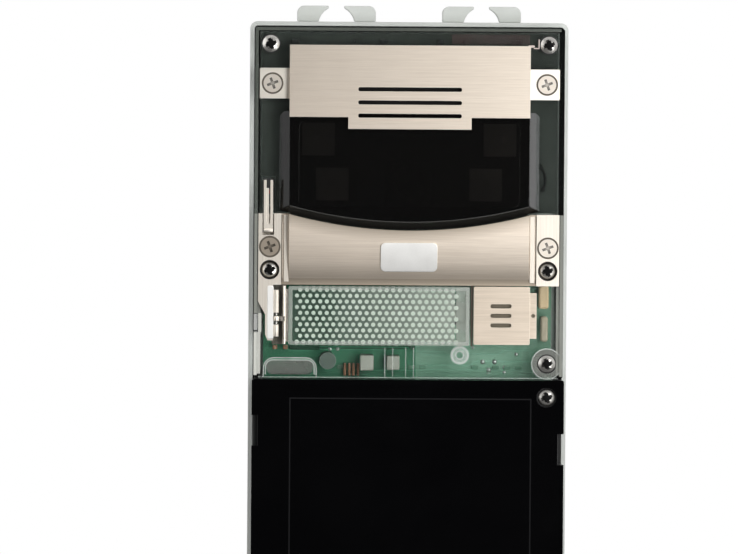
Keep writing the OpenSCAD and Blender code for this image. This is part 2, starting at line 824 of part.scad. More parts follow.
module speaker_cover() {
    half = cover_w / 2;
    color("tan") difference() {
        union() {
            block(-half, half, cover_bottom, cover_top, cover_z - sheet_t, cover_z);
            block(-tongue_w / 2, tongue_w / 2, cover_bottom - tongue_h, cover_bottom + past,
                cover_z - sheet_t, cover_z);
            block(-half, half, cover_top - sheet_t, cover_top, housing_front, cover_z - sheet_t / 2);
            for (sx = [-1, 1]) mirror([sx < 0 ? 1 : 0, 0, 0]) {
                block(half - sheet_t, half, window_top + seat_gap, cover_top, housing_front,
                    cover_z - sheet_t / 2);
                round_block(half - sheet_t, tab_out, cover_mid_y - tab_h / 2, cover_mid_y + tab_h / 2,
                    housing_front, foot_z, 0.35);
            }
        }
        for (i = [0 : 2]) {
            y = slot_y - i * slot_pitch;
            round_block(-slot_len / 2, slot_len / 2, y - slot_h / 2, y + slot_h / 2, cover_z - 2 * past,
                cover_z + past, slot_h * 0.45);
        }
        for (sx = [-1, 1]) flush_hole(sx * cover_screw_x, cover_mid_y, foot_z);
    }
}

module cover_screws() {
    color("silver") for (sx = [-1, 1])
        translate([sx * cover_screw_x, cover_mid_y, foot_z]) flush_screw(foot_z - carrier_z1);
}

module speaker_cloth() {
    cloth_t = 0.3;
    cloth_over = 3;
    cloth_rise = 9;
    half = slot_len / 2 + cloth_over;
    color("black")
        block(-half, half, window_top + seat_gap, slot_y + cloth_rise, housing_front,
            housing_front + cloth_t);
}

module speaker_gasket() {
    color("dimgray") translate([0, speaker_y, rim_z]) difference() {
        cylinder(r = speaker_r, h = inner_z - rim_z);
        translate([0, 0, -past]) cylinder(r = speaker_hole_r, h = carrier_gap + past);
    }
}

// Half sections of the loudspeaker, as distance from its axis and level out from the wall
module speaker_turned(points) {
    translate([0, speaker_y, 0]) rotate_extrude() polygon(points);
}

module speaker_basket() {
    throat = speaker_hole_r - seat_gap;
    rim_w = 3.4;
    inner = speaker_r - rim_w;
    centre = 4.2;
    metal_t = 1;
    color("silver") speaker_turned([
        [speaker_r, rim_z], [inner, rim_z], [inner, carrier_z1], [throat - metal_t, carrier_z0],
        [magnet_r - edge_gap, magnet_z1 + metal_t], [centre, magnet_z1 + metal_t], [centre, magnet_z1],
        [magnet_r, magnet_z1], [throat, carrier_z0 - seat_gap], [throat, carrier_z1], [speaker_r, carrier_z1],
    ]);
}

module speaker_surround() {
    roll_r = 1.2;
    skin_t = 0.4;
    color("black") translate([0, speaker_y, 0]) rotate_extrude() intersection() {
        translate([surround_mid, rim_z]) difference() {
            circle(roll_r);
            circle(roll_r - skin_t);
        }
        translate([surround_mid - 2 * roll_r, rim_z]) square([4 * roll_r, 2 * roll_r]);
    }
}

module speaker_cone() {
    edge = surround_mid - 1.2;
    neck = 4.5;
    cap_r = 2.5;
    skin_t = 0.4;
    foot = carrier_z0 - 1.4;
    color("dimgray") speaker_turned([
        [edge, rim_z], [edge, rim_z - skin_t], [neck, foot], [0, foot], [0, carrier_z0 + skin_t],
        [cap_r, carrier_z0], [neck, foot + skin_t],
    ]);
}

module speaker_magnet() {
    color("dimgray") rod_out(0, speaker_y, magnet_z1 - magnet_t, magnet_z1, magnet_r);
}

module speaker_yoke() {
    z1 = magnet_z1 - magnet_t;
    color("silver") rod_out(0, speaker_y, z1 - yoke_t, z1, magnet_r);
}

module speaker_lead() {
    z = carrier_z1 + lead_r + 0.1;
    color("black") {
        translate([lead_x, lead_y, z]) rotate([0, 0, lead_from])
            rotate_extrude(angle = lead_sweep) translate([lead_bend, 0]) circle(lead_r, $fn = 24);
        for (a = [lead_from, lead_from + lead_sweep]) translate([lead_x, lead_y, 0]) rotate([0, 0, a])
            translate([lead_bend, 0, 0])
                block(-plug_w / 2, plug_w / 2, -plug_w / 2, plug_w / 2, carrier_z1, z + lead_r + 0.2);
    }
}

module camera_window() {
    base = window_base_w / 2;
    face = cover_w / 2;
    corner = 1.4;
    color("black", 0.85) difference() {
        intersection() {
            translate([0, window_foot - past, 0]) rotate([-90, 0, 0]) mirror([0, 1, 0])
                linear_extrude(window_top - window_foot + past)
                    polygon([
                        [-base, housing_front], [base, housing_front], [face, window_z], [-face, window_z],
                    ]);
            translate([0, arch_y, housing_front])
                cylinder(r1 = arch_r + arch_bevel, r2 = arch_r, h = window_rise, $fn = arc_fn);
            linear_extrude(window_z + past) polygon([
                [-base - past, window_foot - past], [base + past, window_foot - past],
                [base + past, window_top - corner - past], [base - corner, window_top],
                [corner - base, window_top], [-base - past, window_top - corner - past],
            ]);
        }
        round_block(-aperture_half, aperture_half, aperture_y0, aperture_y1, housing_front - past,
            window_z - window_wall, aperture_r);
    }
}

module camera_board() {
    half_w = camera_post_x + 1.6;
    half_h = holder_half + 1.5;
    color("darkgreen")
        block(-half_w, half_w, camera_y - half_h, camera_y + half_h, camera_board_z1 - camera_board_t,
            camera_board_z1);
}

module camera_holder() {
    color("black") difference() {
        block(-holder_half, holder_half, camera_y - holder_half, camera_y + holder_half, camera_board_z1,
            holder_z1);
        rod_out(0, camera_y, carrier_z0 - 2, holder_z1 + past, thread_r);
    }
}

module lens_barrel() {
    color("black") difference() {
        union() {
            rod_out(0, camera_y, carrier_z0 - 2, holder_z1, thread_r - pin_play);
            rod_out(0, camera_y, holder_z1, lens_z1, barrel_r);
        }
        rod_out(0, camera_y, holder_z1, lens_z1 + past, lens_r);
        translate([0, camera_y, lens_z1 - mouth_depth])
            cylinder(r1 = lens_r, r2 = lens_mouth_r, h = mouth_depth);
    }
}

module camera_lens() {
    glass_dome = 6;
    color("midnightblue") intersection() {
        rod_out(0, camera_y, holder_z1, lens_z1, lens_r - pin_play);
        translate([0, camera_y, lens_z1 - seat_gap - glass_dome]) sphere(r = glass_dome, $fn = 96);
    }
}

module infrared_board() {
    half = upper_lamp_x + lamp_w / 2 + 1;
    color("darkgreen") difference() {
        block(-half, half, camera_y - lamp_w / 2 - 1.2, upper_lamp_y + lamp_w / 2 + 0.6, carrier_z1,
            carrier_z1 + lamp_board_t);
        rod_out(0, speaker_y, carrier_z1 - past, carrier_z1 + 2 * past, speaker_r + edge_gap);
        block(-holder_space, holder_space, camera_y - holder_space, camera_y + holder_space,
            carrier_z1 - past, carrier_z1 + 2 * past);
    }
}

module infrared_lamps() {
    dome_r = 4;
    dome_rise = 0.4;
    places = [[upper_lamp_x, upper_lamp_y], [lower_lamp_x, camera_y]];
    z = carrier_z1 + lamp_board_t;
    half = lamp_w / 2;
    color("dimgray") for (sx = [-1, 1]) for (p = places) translate([sx * p[0], p[1], z]) {
        block(-half, half, -half, half, 0, lamp_base_t);
        intersection() {
            rod_out(0, 0, lamp_base_t / 2, 2 * lamp_base_t, 0.75 * dome_r);
            translate([0, 0, lamp_base_t + dome_rise - dome_r]) sphere(r = dome_r);
        }
    }
}

module front_band() {
    half = cover_w / 2;
    inner_r = band_r - sheet_t;
    color("tan") difference() {
        union() {
            intersection() {
                difference() {
                    rod_across(crown_y, band_axis_z, -half, half, band_r, $fn = arc_fn);
                    rod_across(crown_y, band_axis_z, sheet_t - half, half - sheet_t, inner_r, $fn = arc_fn);
                }
                block(-half, half, band_bottom, crown_y, housing_front, foot_z + band_rise + past);
            }
            block(-half, half, plate_bottom, band_bottom + 2 * sheet_t, housing_front, foot_z);
            for (sx = [-1, 1]) mirror([sx < 0 ? 1 : 0, 0, 0])
                block(half - sheet_t, plate_out, plate_bottom, plate_top, housing_front, foot_z);
        }
        arch_space(housing_front - past, cover_z + 2 * past);
        for (sx = [-1, 1]) {
            rod_out(sx * plate_mid, band_screw_y, housing_front - past, foot_z + past, hole_r);
            rod_out(sx * screw_x, mid_screw_y, housing_front - past, foot_z + past, ring_r);
        }
        block(blade_x - tamper_slot, blade_x + tamper_slot, tamper_y - tamper_rim, plate_top + past,
            housing_front - past, foot_z + past);
    }
}

module band_screws() {
    color("silver") for (sx = [-1, 1])
        translate([sx * plate_mid, band_screw_y, plate_z]) flush_screw(plate_z - carrier_z0 - past);
}

module badge() {
    color("silver") intersection() {
        round_block(-badge_w / 2, badge_w / 2, badge_y - badge_h / 2, badge_y + badge_h / 2, housing_front,
            cover_z + 2 * past, 1.5);
        difference() {
            rod_across(crown_y, band_axis_z, -badge_w, badge_w, band_r + badge_t, $fn = arc_fn);
            rod_across(crown_y, band_axis_z, -badge_w - past, badge_w + past, band_r, $fn = arc_fn);
        }
    }
}

// Pin across the slot of the tamper lever
module tamper_pin_rod() {
    half = tamper_slot + 0.6;
    rod_across(tamper_y, tamper_z, blade_x - half, blade_x + half, tamper_pin_r);
}

// Holes that both end plates share
module plate_holes() {
    flush_hole(plate_mid, band_screw_y, plate_z);
    rod_out(screw_x, mid_screw_y, foot_z - past, plate_z + past, ring_r);
    arch_space(foot_z - past, plate_z + past);
}

module retainer_plate() {
    color("linen") difference() {
        block(plate_in, plate_out, plate_bottom, plate_top, foot_z, plate_z);
        plate_holes();
    }
}

module hinge_bracket() {
    color("linen") difference() {
        union() {
            translate([0, 0, foot_z]) linear_extrude(sheet_t) polygon([
                [-plate_out, plate_top], [-plate_in, plate_top], [-plate_in, plate_bottom],
                [-arm_in, plate_bottom], [-arm_in, arm_bottom], [-arm_out + 0.8, arm_bottom],
                [-arm_out, arm_bottom + 1.8], [-arm_out, latch_y + 2.6], [-plate_out, latch_y + 6.6],
            ]);
            for (s = fixed_knuckles) {
                rod_up(-hinge_x, hinge_z, s[0], s[1], knuckle_r);
                block(-arm_in - past / 2, -hinge_x, s[0], s[1], foot_z, plate_z);
            }
        }
        mirror([1, 0, 0]) plate_holes();
        rod_up(-hinge_x, hinge_z, arm_bottom - past, key_top + past, pin_r);
        block(blade_x - tamper_slot, blade_x + tamper_slot, tamper_y - tamper_rim, plate_top + past,
            foot_z - past, plate_z + past);
        tamper_pin_rod();
    }
}

module hinge_pin() {
    color("silver") rod_up(-hinge_x, hinge_z, fixed_knuckles[0][0], fixed_knuckles[1][1], pin_r);
}

module hinge_leaf() {
    color("whitesmoke") difference() {
        union() {
            rod_up(bar_x, bar_z, key_bottom + 0.3, key_top, bar_r);
            block(bar_x, key_x0, key_bottom + 1, key_top - 1, key_foot_z + 0.6, bar_z);
            block(-hinge_x, bar_x + bar_r / 2, leaf_y - leaf_h / 2, leaf_y + leaf_h / 2, hinge_z - leaf_t / 2,
                hinge_z + leaf_t / 2);
            rod_up(-hinge_x, hinge_z, leaf_y - leaf_h / 2, leaf_y + leaf_h / 2, knuckle_r);
        }
        rod_up(-hinge_x, hinge_z, leaf_y - leaf_h, leaf_y + leaf_h, pin_r + pin_play);
    }
}

module call_button() {
    color("lightcyan", 0.5) {
        difference() {
            round_block(key_x0, key_x1, key_bottom, key_top, key_foot_z, key_z, 0.6);
            block(key_x0 + key_wall, key_x1 - key_wall, key_bottom + key_wall, key_top - key_wall,
                key_foot_z - past, key_z - key_wall);
        }
        block(key_x1 - pad_w, key_x1 - key_wall / 2, key_mid_y - pad_h / 2, key_mid_y + pad_h / 2, key_foot_z,
            key_z - key_wall / 2);
    }
}

module diffuser_plate() {
    guide_t = 1.6;
    z1 = key_z - key_wall;
    color("mintcream", 0.6)
        block(key_x0 + key_wall, key_x1 - pad_w, key_bottom + key_wall, key_top - key_wall, z1 - guide_t, z1);
}

module call_switch() {
    half = switch_w / 2;
    color("dimgray") difference() {
        block(switch_x - half, switch_x + half, key_mid_y - half, key_mid_y + half, board_z1,
            board_z1 + switch_h);
        rod_out(switch_x, key_mid_y, board_z1 + 0.3, board_z1 + switch_h + past, plunger_r + pin_play);
    }
}

module call_plunger() {
    color("white")
        rod_out(switch_x, key_mid_y, board_z1 + switch_h - plunger_sink, key_foot_z - touch_gap, plunger_r);
}

module backlight_lamps() {
    count = 4;
    pitch = (key_x1 - key_x0 - pad_w) / count;
    half_w = 1.4;
    half_h = 1;
    color("white") for (i = [0 : count - 1]) {
        x = key_x0 + pitch * (i + 0.5);
        block(x - half_w, x + half_w, key_mid_y - half_h, key_mid_y + half_h, board_z1, board_z1 + 0.9);
    }
}

module microphone_cover() {
    top = housing_front + mic_rise;
    half_len = mic_slot_len / 2;
    half_slot = 0.6;
    color("tan") difference() {
        union() {
            difference() {
                round_block(mic_x0, mic_x1, mic_bottom, mic_top, housing_front, top, 0.5);
                block(mic_x0 + sheet_t, mic_x1 - sheet_t, mic_bottom + sheet_t, mic_top - sheet_t,
                    housing_front - past, top - sheet_t);
            }
            block(mic_x1 - sheet_t, mic_x1 + mic_lip_w, mic_bottom + mic_lip_cut, mic_top - mic_lip_cut,
                housing_front, foot_z);
        }
        for (i = [-1 : 1]) {
            y = mic_y + i * mic_slot_pitch;
            round_block(mic_x - half_len, mic_x + half_len, y - half_slot, y + half_slot, top - 2 * past,
                top + past, half_slot * 0.9);
        }
        rod_out(mic_x1 + mic_lip_w / 2, mic_y, housing_front - past, foot_z + past, half_slot);
    }
}

module microphone_boot() {
    color("black") difference() {
        rod_out(mic_x, mic_y, inner_z - capsule_drop - past, inner_z, capsule_r + boot_wall);
        rod_out(mic_x, mic_y, inner_z - capsule_drop, inner_z + past, capsule_r + pin_play);
    }
}

module microphone_capsule() {
    color("silver") rod_out(mic_x, mic_y, inner_z - capsule_drop, inner_z - 0.6, capsule_r);
}

module main_board() {
    post_space = post_r + edge_gap;
    color("seagreen") difference() {
        union() {
            block(-board_half, board_half, tongue_top, board_top, board_z0, board_z1);
            block(-board_half, tongue_x1, board_foot, tongue_top + past, board_z0, board_z1);
        }
        for (p = post_at) rod_out(p[0], p[1], board_z0 - past, board_z1 + past, post_space);
        for (p = post_at) mirror([p[0] < 0 ? 1 : 0, 0, 0])
            block(screw_x, tray_w, p[1] - post_space, p[1] + post_space, board_z0 - past, board_z1 + past);
        for (p = board_screw_at)
            rod_out(p[0], p[1], board_z0 - past, board_z1 + past, board_screw_r + press_gap);
        for (p = wall_hole_at) rod_out(p[0], p[1], board_z0 - past, board_z1 + past, wall_hole_r + 2);
    }
}

module board_screws() {
    head_h = 1.2;
    color("silver") for (p = board_screw_at) difference() {
        union() {
            rod_out(p[0], p[1], board_z1, board_z1 + head_h, 2 * board_screw_r);
            rod_out(p[0], p[1], tray_floor + past, board_z1 + past / 2, board_screw_r);
        }
        translate([p[0], p[1], board_z1 + head_h]) driver_cross(2.2, 0.5, 0.6);
    }
}

module film_capacitors() {
    // Distances from the grip pocket, half widths, half heights and rises
    film_gaps = [15.6, 23.7];
    film_half_w = [2.1, 2];
    film_half_h = [2.4, 2.2];
    film_rises = [8, 7];
    color("wheat") for (i = [0, 1]) translate([grip_x1 + film_gaps[i], strip_y, board_z1])
        block(-film_half_w[i], film_half_w[i], -film_half_h[i], film_half_h[i], 0, film_rises[i]);
}

module electrolytic_capacitors() {
    can_h = 9;
    upper_drop = 10;
    upper_y = board_top - upper_drop;
    // Distance of the strip's can from the grip pocket, and of the others from the board's edge
    can_inset = 3.5;
    upper_insets = [22.5, 31.5];
    can_r = 2.6;
    upper_can_r = 3.2;
    groove_rise = 1.2;
    groove_r = 0.6;
    // Middle and radius of each
    places = concat(
        [[grip_x1 + can_inset, strip_y + groove_r, can_r]],
        [for (d = upper_insets) [d - board_half, upper_y, upper_can_r]]
    );
    color("dimgray") for (p = places) translate([p[0], p[1], board_z1]) difference() {
        cylinder(r = p[2], h = can_h);
        translate([0, 0, groove_rise])
            rotate_extrude() translate([p[2] + groove_r * 0.4, 0]) circle(groove_r, $fn = 24);
    }
}

module small_components() {
    half_w = 1;
    half_h = 0.55;
    chip_t = 0.8;
    upper_drop = 8;
    strip_drop = 1.6;
    // Distances from the grip pocket, from the microphone's side and from the relay
    left_x = [7.6, 10.5, 29.6, 33];
    right_x = [1, 7.5, 11, 14.5];
    relay_gaps = [2, 5.5, 9];
    places = concat(
        [for (d = left_x) [grip_x1 + d, strip_y - strip_drop]],
        [for (d = right_x) [mic_x0 + d, strip_y - strip_drop]],
        [for (d = relay_gaps) [relay_x - relay_half_w - d, board_top - upper_drop]]
    );
    color("dimgray") for (p = places)
        block(p[0] - half_w, p[0] + half_w, p[1] - half_h, p[1] + half_h, board_z1, board_z1 + chip_t);
}

module main_processor() {
    half = 7;
    chip_t = 1.4;
    chip_drop = 30;
    y = display_top - chip_drop;
    color("black") block(-half, half, y - half, y + half, board_z1, board_z1 + chip_t);
}

module door_relay() {
    relay_drop = 12;
    half_h = 6;
    y = board_top - relay_drop;
    color("royalblue")
        block(relay_x - relay_half_w, relay_x + relay_half_w, y - half_h, y + half_h, board_z1,
            board_z1 + relay_h);
}

module network_jack() {
    socket_d = 11;
    half_socket = 5.9;
    half_key = 3;
    roof_t = 0.6;
    key_step = 1.2;
    x0 = jack_x1 - socket_d;
    y = connector_y + jack_side / 2;
    top = board_z1 + jack_h - roof_t;
    color("silver") difference() {
        block(jack_x1 - jack_side, jack_x1, connector_y, jack_y1, board_z1, board_z1 + jack_h);
        block(x0, jack_x1 + past, y - half_socket, y + half_socket, board_z1 + roof_t, top - key_step);
        block(x0, jack_x1 + past, y - half_key, y + half_key, board_z1 + roof_t, top);
    }
}

module terminal_block() {
    y1 = connector_y + terminal_d;
    half_mouth = 1.4;
    color("seagreen") difference() {
        block(terminal_x0, terminal_x1, connector_y, y1, board_z1, board_z1 + terminal_h);
        for (i = [0 : terminal_count - 1]) {
            x = terminal_x0 + terminal_pitch * (i + 0.5);
            block(x - half_mouth, x + half_mouth, y1 - 2.5 * half_mouth, y1 + past, board_z1 + half_mouth,
                board_z1 + terminal_h / 2);
            rod_out(x, terminal_screw_y, board_z1 + terminal_h - terminal_well_d,
                board_z1 + terminal_h + past, terminal_well_r);
        }
    }
}

module terminal_screws() {
    color("silver") for (i = [0 : terminal_count - 1])
        translate([terminal_x0 + terminal_pitch * (i + 0.5), terminal_screw_y, board_z1 + terminal_h])
            difference() {
                rod_out(0, 0, -terminal_well_d, -1.4, terminal_well_r - pin_play);
                block(-terminal_pitch, terminal_pitch, -0.3, 0.3, -2.2, past);
            }
}

module tamper_lever() {
    prong = 0.8;
    tongue = 0.75;
    half = blade_w / 2;
    z0 = tamper_z - blade_t / 2;
    tongue_z = z0 - tongue_drop;
    color("wheat") difference() {
        union() {
            rod_across(tamper_y, tamper_z, blade_x - half, blade_x + half, tamper_barrel_r);
            block(blade_x - half, blade_x - half + prong, tamper_y, tamper_top, z0, z0 + blade_t);
            block(blade_x + half - prong, blade_x + half, tamper_y, tamper_top, z0, z0 + blade_t);
            block(blade_x - half, blade_x + half, tamper_y, tamper_y + 2.2, z0, z0 + blade_t);
            block(blade_x - half + prong / 2, blade_x - half + prong + tongue, tamper_y, tamper_top - 2.5,
                tongue_z, z0 + 0.2);
        }
        rod_across(tamper_y, tamper_z, blade_x - tray_w, blade_x + tray_w, tamper_pin_r + pin_play);
    }
}

module tamper_pin() {
    color("silver") tamper_pin_rod();
}

module tamper_switch() {
    color("black") difference() {
        block(blade_x - tamper_body_w / 2, blade_x + tamper_body_w / 2, plunge_y - tamper_body_h / 2,
            plunge_y + tamper_body_h / 2, tamper_body_z, carrier_z1);
        rod_out(plunge_x, plunge_y, carrier_z1 - 3, carrier_z1 + past, tamper_plunger_r + pin_play);
    }
}

module tamper_plunger() {
    color("firebrick") rod_out(plunge_x, plunge_y, carrier_z1 - 1.6, plunge_z, tamper_plunger_r);
}

module display_frame() {
    color("black") difference() {
        union() {
            difference() {
                round_block(-housing_w / 2, housing_w / 2, display_bottom, display_top, skirt_z,
                    housing_front, housing_corner);
                block(-skirt_in, skirt_in, display_bottom + housing_wall, display_top - housing_wall,
                    skirt_z - past, inner_z);
                block(-skirt_in, skirt_in, display_top - 2 * housing_wall, display_top + past, skirt_z - past,
                    carrier_z0);
            }
            for (p = display_screw_at) rod_out(p[0], p[1], carrier_z0, inner_z + past, post_r);
            for (p = display_boss_at) rod_out(p[0], p[1], panel_z0, inner_z + past, display_boss_r);
            latch_wall(1, right_latch_y, display_latch_h, housing_front);
        }
        block(-panel_w / 2 - edge_gap, panel_w / 2 + edge_gap, panel_top - panel_h - edge_gap,
            panel_top + edge_gap, inner_z - past, housing_front + past);
        for (p = display_screw_at) rod_out(p[0], p[1], carrier_z0 - past, housing_front + past, hole_r);
        latch_notch(1, right_latch_y, display_latch_h, housing_front + past);
    }
}

module display_glass() {
    half = glass_w / 2;
    color("black") difference() {
        round_block(-half, half, display_bottom - 0.3, display_top, housing_front, glass_z, glass_corner);
        for (p = display_screw_at) rod_out(p[0], p[1], housing_front - past, glass_z + past, ring_r);
        latch_notch(1, right_latch_y, display_latch_h, glass_z + past);
        latch_notch(-1, left_latch_y, display_latch_h, glass_z + past);
    }
}

module display_panel() {
    color("dimgray") block(-panel_w / 2, panel_w / 2, panel_top - panel_h, panel_top, panel_z0, panel_z1);
}

module display_board() {
    color("darkgreen") difference() {
        block(-display_board_half, display_board_half, display_board_top - display_board_h,
            display_board_top, display_board_z0, panel_z0);
        for (p = display_boss_at) rod_out(p[0], p[1], display_board_z0 - past, panel_z0 + past, 0.9);
    }
}

// Flat ribbon that folds from the back of the display board to the main board
module display_ribbon() {
    color("wheat") translate([ribbon_x - ribbon_w / 2, fold_y, board_z1 + fold_r]) rotate([90, 0, 90])
        linear_extrude(ribbon_w) {
            difference() {
                circle(fold_r);
                circle(fold_r - ribbon_t);
                translate([0, -2 * fold_r]) square(4 * fold_r);
            }
            for (y = [-fold_r, fold_r - ribbon_t]) translate([0, y]) square([ribbon_run, ribbon_t]);
        }
}

module display_screws() {
    color("silver") for (p = display_screw_at)
        translate([p[0], p[1], housing_front]) pan_screw(housing_front - tray_floor - 2 * past);
}

upright() back_tray();
upright() top_hooks();
upright() tray_seal();
upright() cable_grommet();
upright() front_housing();
upright() housing_screws();
upright() inner_carrier();
upright() speaker_cover();
upright() cover_screws();
upright() speaker_cloth();
upright() speaker_gasket();
upright() speaker_basket();
upright() speaker_surround();
upright() speaker_cone();
upright() speaker_magnet();
upright() speaker_yoke();
upright() speaker_lead();
upright() camera_window();
upright() camera_board();
upright() camera_holder();
upright() lens_barrel();
upright() camera_lens();
upright() infrared_board();
upright() infrared_lamps();
upright() front_band();
upright() band_screws();
upright() badge();
upright() retainer_plate();
upright() hinge_bracket();
upright() hinge_pin();
upright() hinge_leaf();
upright() call_button();
upright() diffuser_plate();
upright() call_switch();
upright() call_plunger();
upright() backlight_lamps();
upright() microphone_cover();
upright() microphone_boot();
upright() microphone_capsule();
upright() main_board();
upright() board_screws();
upright() film_capacitors();
upright() electrolytic_capacitors();
upright() small_components();
upright() main_processor();
upright() door_relay();
upright() network_jack();
upright() terminal_block();
upright() terminal_screws();
upright() tamper_lever();
upright() tamper_pin();
upright() tamper_switch();
upright() tamper_plunger();
upright() display_frame();
upright() display_glass();
upright() display_panel();
upright() display_board();
upright() display_ribbon();
upright() display_screws();
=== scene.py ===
"""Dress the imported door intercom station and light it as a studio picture.

Sizes are in millimetres on a front elevation: x to the right, up, and level
out from the wall. The function stand turns them into the frame of the model.
"""

from __future__ import annotations

import json
import logging
import math
from abc import ABC, abstractmethod
from dataclasses import dataclass, replace
from enum import Enum
from typing import Any, Callable

import bmesh
import bpy
import numpy as np
from mathutils import Matrix, Vector

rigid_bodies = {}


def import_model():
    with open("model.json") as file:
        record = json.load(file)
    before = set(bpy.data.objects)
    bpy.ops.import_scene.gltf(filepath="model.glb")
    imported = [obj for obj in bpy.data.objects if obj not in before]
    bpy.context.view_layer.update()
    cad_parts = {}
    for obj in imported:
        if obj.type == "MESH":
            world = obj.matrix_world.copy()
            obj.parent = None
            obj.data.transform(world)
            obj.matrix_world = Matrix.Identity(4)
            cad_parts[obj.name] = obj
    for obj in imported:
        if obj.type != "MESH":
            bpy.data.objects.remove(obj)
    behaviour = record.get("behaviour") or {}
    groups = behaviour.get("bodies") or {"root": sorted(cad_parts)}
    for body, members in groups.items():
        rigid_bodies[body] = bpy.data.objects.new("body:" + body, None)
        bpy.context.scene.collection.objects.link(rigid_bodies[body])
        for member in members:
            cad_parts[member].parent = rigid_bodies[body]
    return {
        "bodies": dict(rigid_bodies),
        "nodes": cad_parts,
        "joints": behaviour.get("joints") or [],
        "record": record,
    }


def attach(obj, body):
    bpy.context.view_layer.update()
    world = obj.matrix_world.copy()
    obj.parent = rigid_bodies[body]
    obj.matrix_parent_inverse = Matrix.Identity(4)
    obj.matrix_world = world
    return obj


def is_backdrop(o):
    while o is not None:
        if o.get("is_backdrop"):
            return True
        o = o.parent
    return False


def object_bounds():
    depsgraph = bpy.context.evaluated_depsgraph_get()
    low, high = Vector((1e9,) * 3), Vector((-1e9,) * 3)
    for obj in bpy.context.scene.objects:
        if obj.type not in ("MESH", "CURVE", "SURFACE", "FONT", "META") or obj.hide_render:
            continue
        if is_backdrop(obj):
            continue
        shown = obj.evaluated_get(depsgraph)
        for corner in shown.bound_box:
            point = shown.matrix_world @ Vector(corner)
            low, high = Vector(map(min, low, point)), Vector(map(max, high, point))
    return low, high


LOG = logging.getLogger("station")
MM = 0.001
STATION = "station"
STRIP_STEPS = 12
ARCH_STEPS = 9
FILM_HALF_H = 0.02
FILM_CORNER = 0.015
DOME_SHARE = 0.94

Colour = tuple[float, float, float, float]
Socket = bpy.types.NodeSocket
Pair = tuple[float, float]
Three = tuple[float, float, float]
Row = tuple[float, ...]


def paint(red: int, green: int, blue: int) -> Colour:
    """Turn a screen colour of 0 to 255 into linear light.

    Args:
        red: Red part on the screen.
        green: Green part on the screen.
        blue: Blue part on the screen.

    Returns:
        The colour as a shader takes it, with full alpha.
    """
    screen = np.array((red, green, blue)) / 255.0
    linear = np.where(screen <= 0.04045, screen / 12.92, ((screen + 0.055) / 1.055) ** 2.4)
    return (*linear.tolist(), 1.0)


WHITE: Colour = (1.0, 1.0, 1.0, 1.0)


def paler(tone: Colour, share: float) -> Colour:
    """Mix a colour with white by a share."""
    red, green, blue = (share + (1.0 - share) * part for part in tone[:3])
    return red, green, blue, 1.0


def stand(points: np.ndarray) -> np.ndarray:
    """Stand an elevation up in the model's frame.

    Args:
        points: Rows of x, up and level in millimetres.

    Returns:
        Rows of (x, -level, up) in metres.
    """
    return np.stack((points[..., 0], -points[..., 2], points[..., 1]), axis=-1) * MM


@dataclass
class Surface:
    """Points of a mesh on the elevation, and the corner numbers of its faces."""

    points: np.ndarray
    faces: list[list[int]]


def grid_faces(rows: int, columns: int, close_rows: bool, close_columns: bool) -> np.ndarray:
    """Number the four-cornered faces of a grid of points.

    Args:
        rows: Count of rows.
        columns: Count of columns.
        close_rows: Whether the last row joins the first.
        close_columns: Whether the last column joins the first.

    Returns:
        One row of four corner numbers for each face.
    """
    row = np.arange(rows if close_rows else rows - 1)[:, None]
    column = np.arange(columns if close_columns else columns - 1)[None, :]
    below = (row + 1) % rows
    right = (column + 1) % columns
    here, there = row * columns, below * columns
    corners = (here + column, here + right, there + right, there + column)
    return np.stack([corner.ravel() for corner in corners], axis=-1)


def copy_faces(faces: np.ndarray, copies: int, step: int) -> list[list[int]]:
    """Repeat faces for several copies of one shape.

    Args:
        faces: Corner numbers of the first copy.
        copies: Count of copies.
        step: Count of points in one copy.

    Returns:
        Corner numbers of all the copies.
    """
    shift = (np.arange(copies) * step)[:, None, None]
    return (faces[None] + shift).reshape(-1, faces.shape[1]).tolist()


def turns(sides: int) -> np.ndarray:
    """Give evenly spaced angles, once round."""
    return np.linspace(0.0, 2.0 * math.pi, sides, endpoint=False)


def capped(points: np.ndarray) -> Surface:
    """Face copies of a shape that goes once round, with a flat cap at each end of its profile.

    Args:
        points: For each copy and each angle, the points along the profile.

    Returns:
        All the copies as one surface.
    """
    copies, sides, count = points.shape[:3]
    faces = copy_faces(grid_faces(sides, count, True, False), copies, sides * count)
    start = np.arange(sides) * count
    faces += copy_faces(np.stack((start, start + count - 1)), copies, sides * count)
    return Surface(points.reshape(-1, 3), faces)


def lathe(profile: np.ndarray, centres: np.ndarray, scales: np.ndarray, sides: int) -> Surface:
    """Turn a profile about the line out of the wall through each centre.

    A point is centre + scale * (r cos a, r sin a, h), where (r, h) runs along
    the profile and the angle a goes once round.

    Args:
        profile: Rows of radius and height.
        centres: Rows of x, up and level.
        scales: Scale of each copy.
        sides: Count of points round the axis.

    Returns:
        All the turned copies as one surface, with flat caps.
    """
    angle = turns(sides)[:, None]
    radius, height = profile[None, :, 0], profile[None, :, 1]
    shape = np.stack((radius * np.cos(angle), radius * np.sin(angle), height + 0.0 * angle), axis=-1)
    return capped(centres[:, None, None, :] + scales[:, None, None, None] * shape[None])


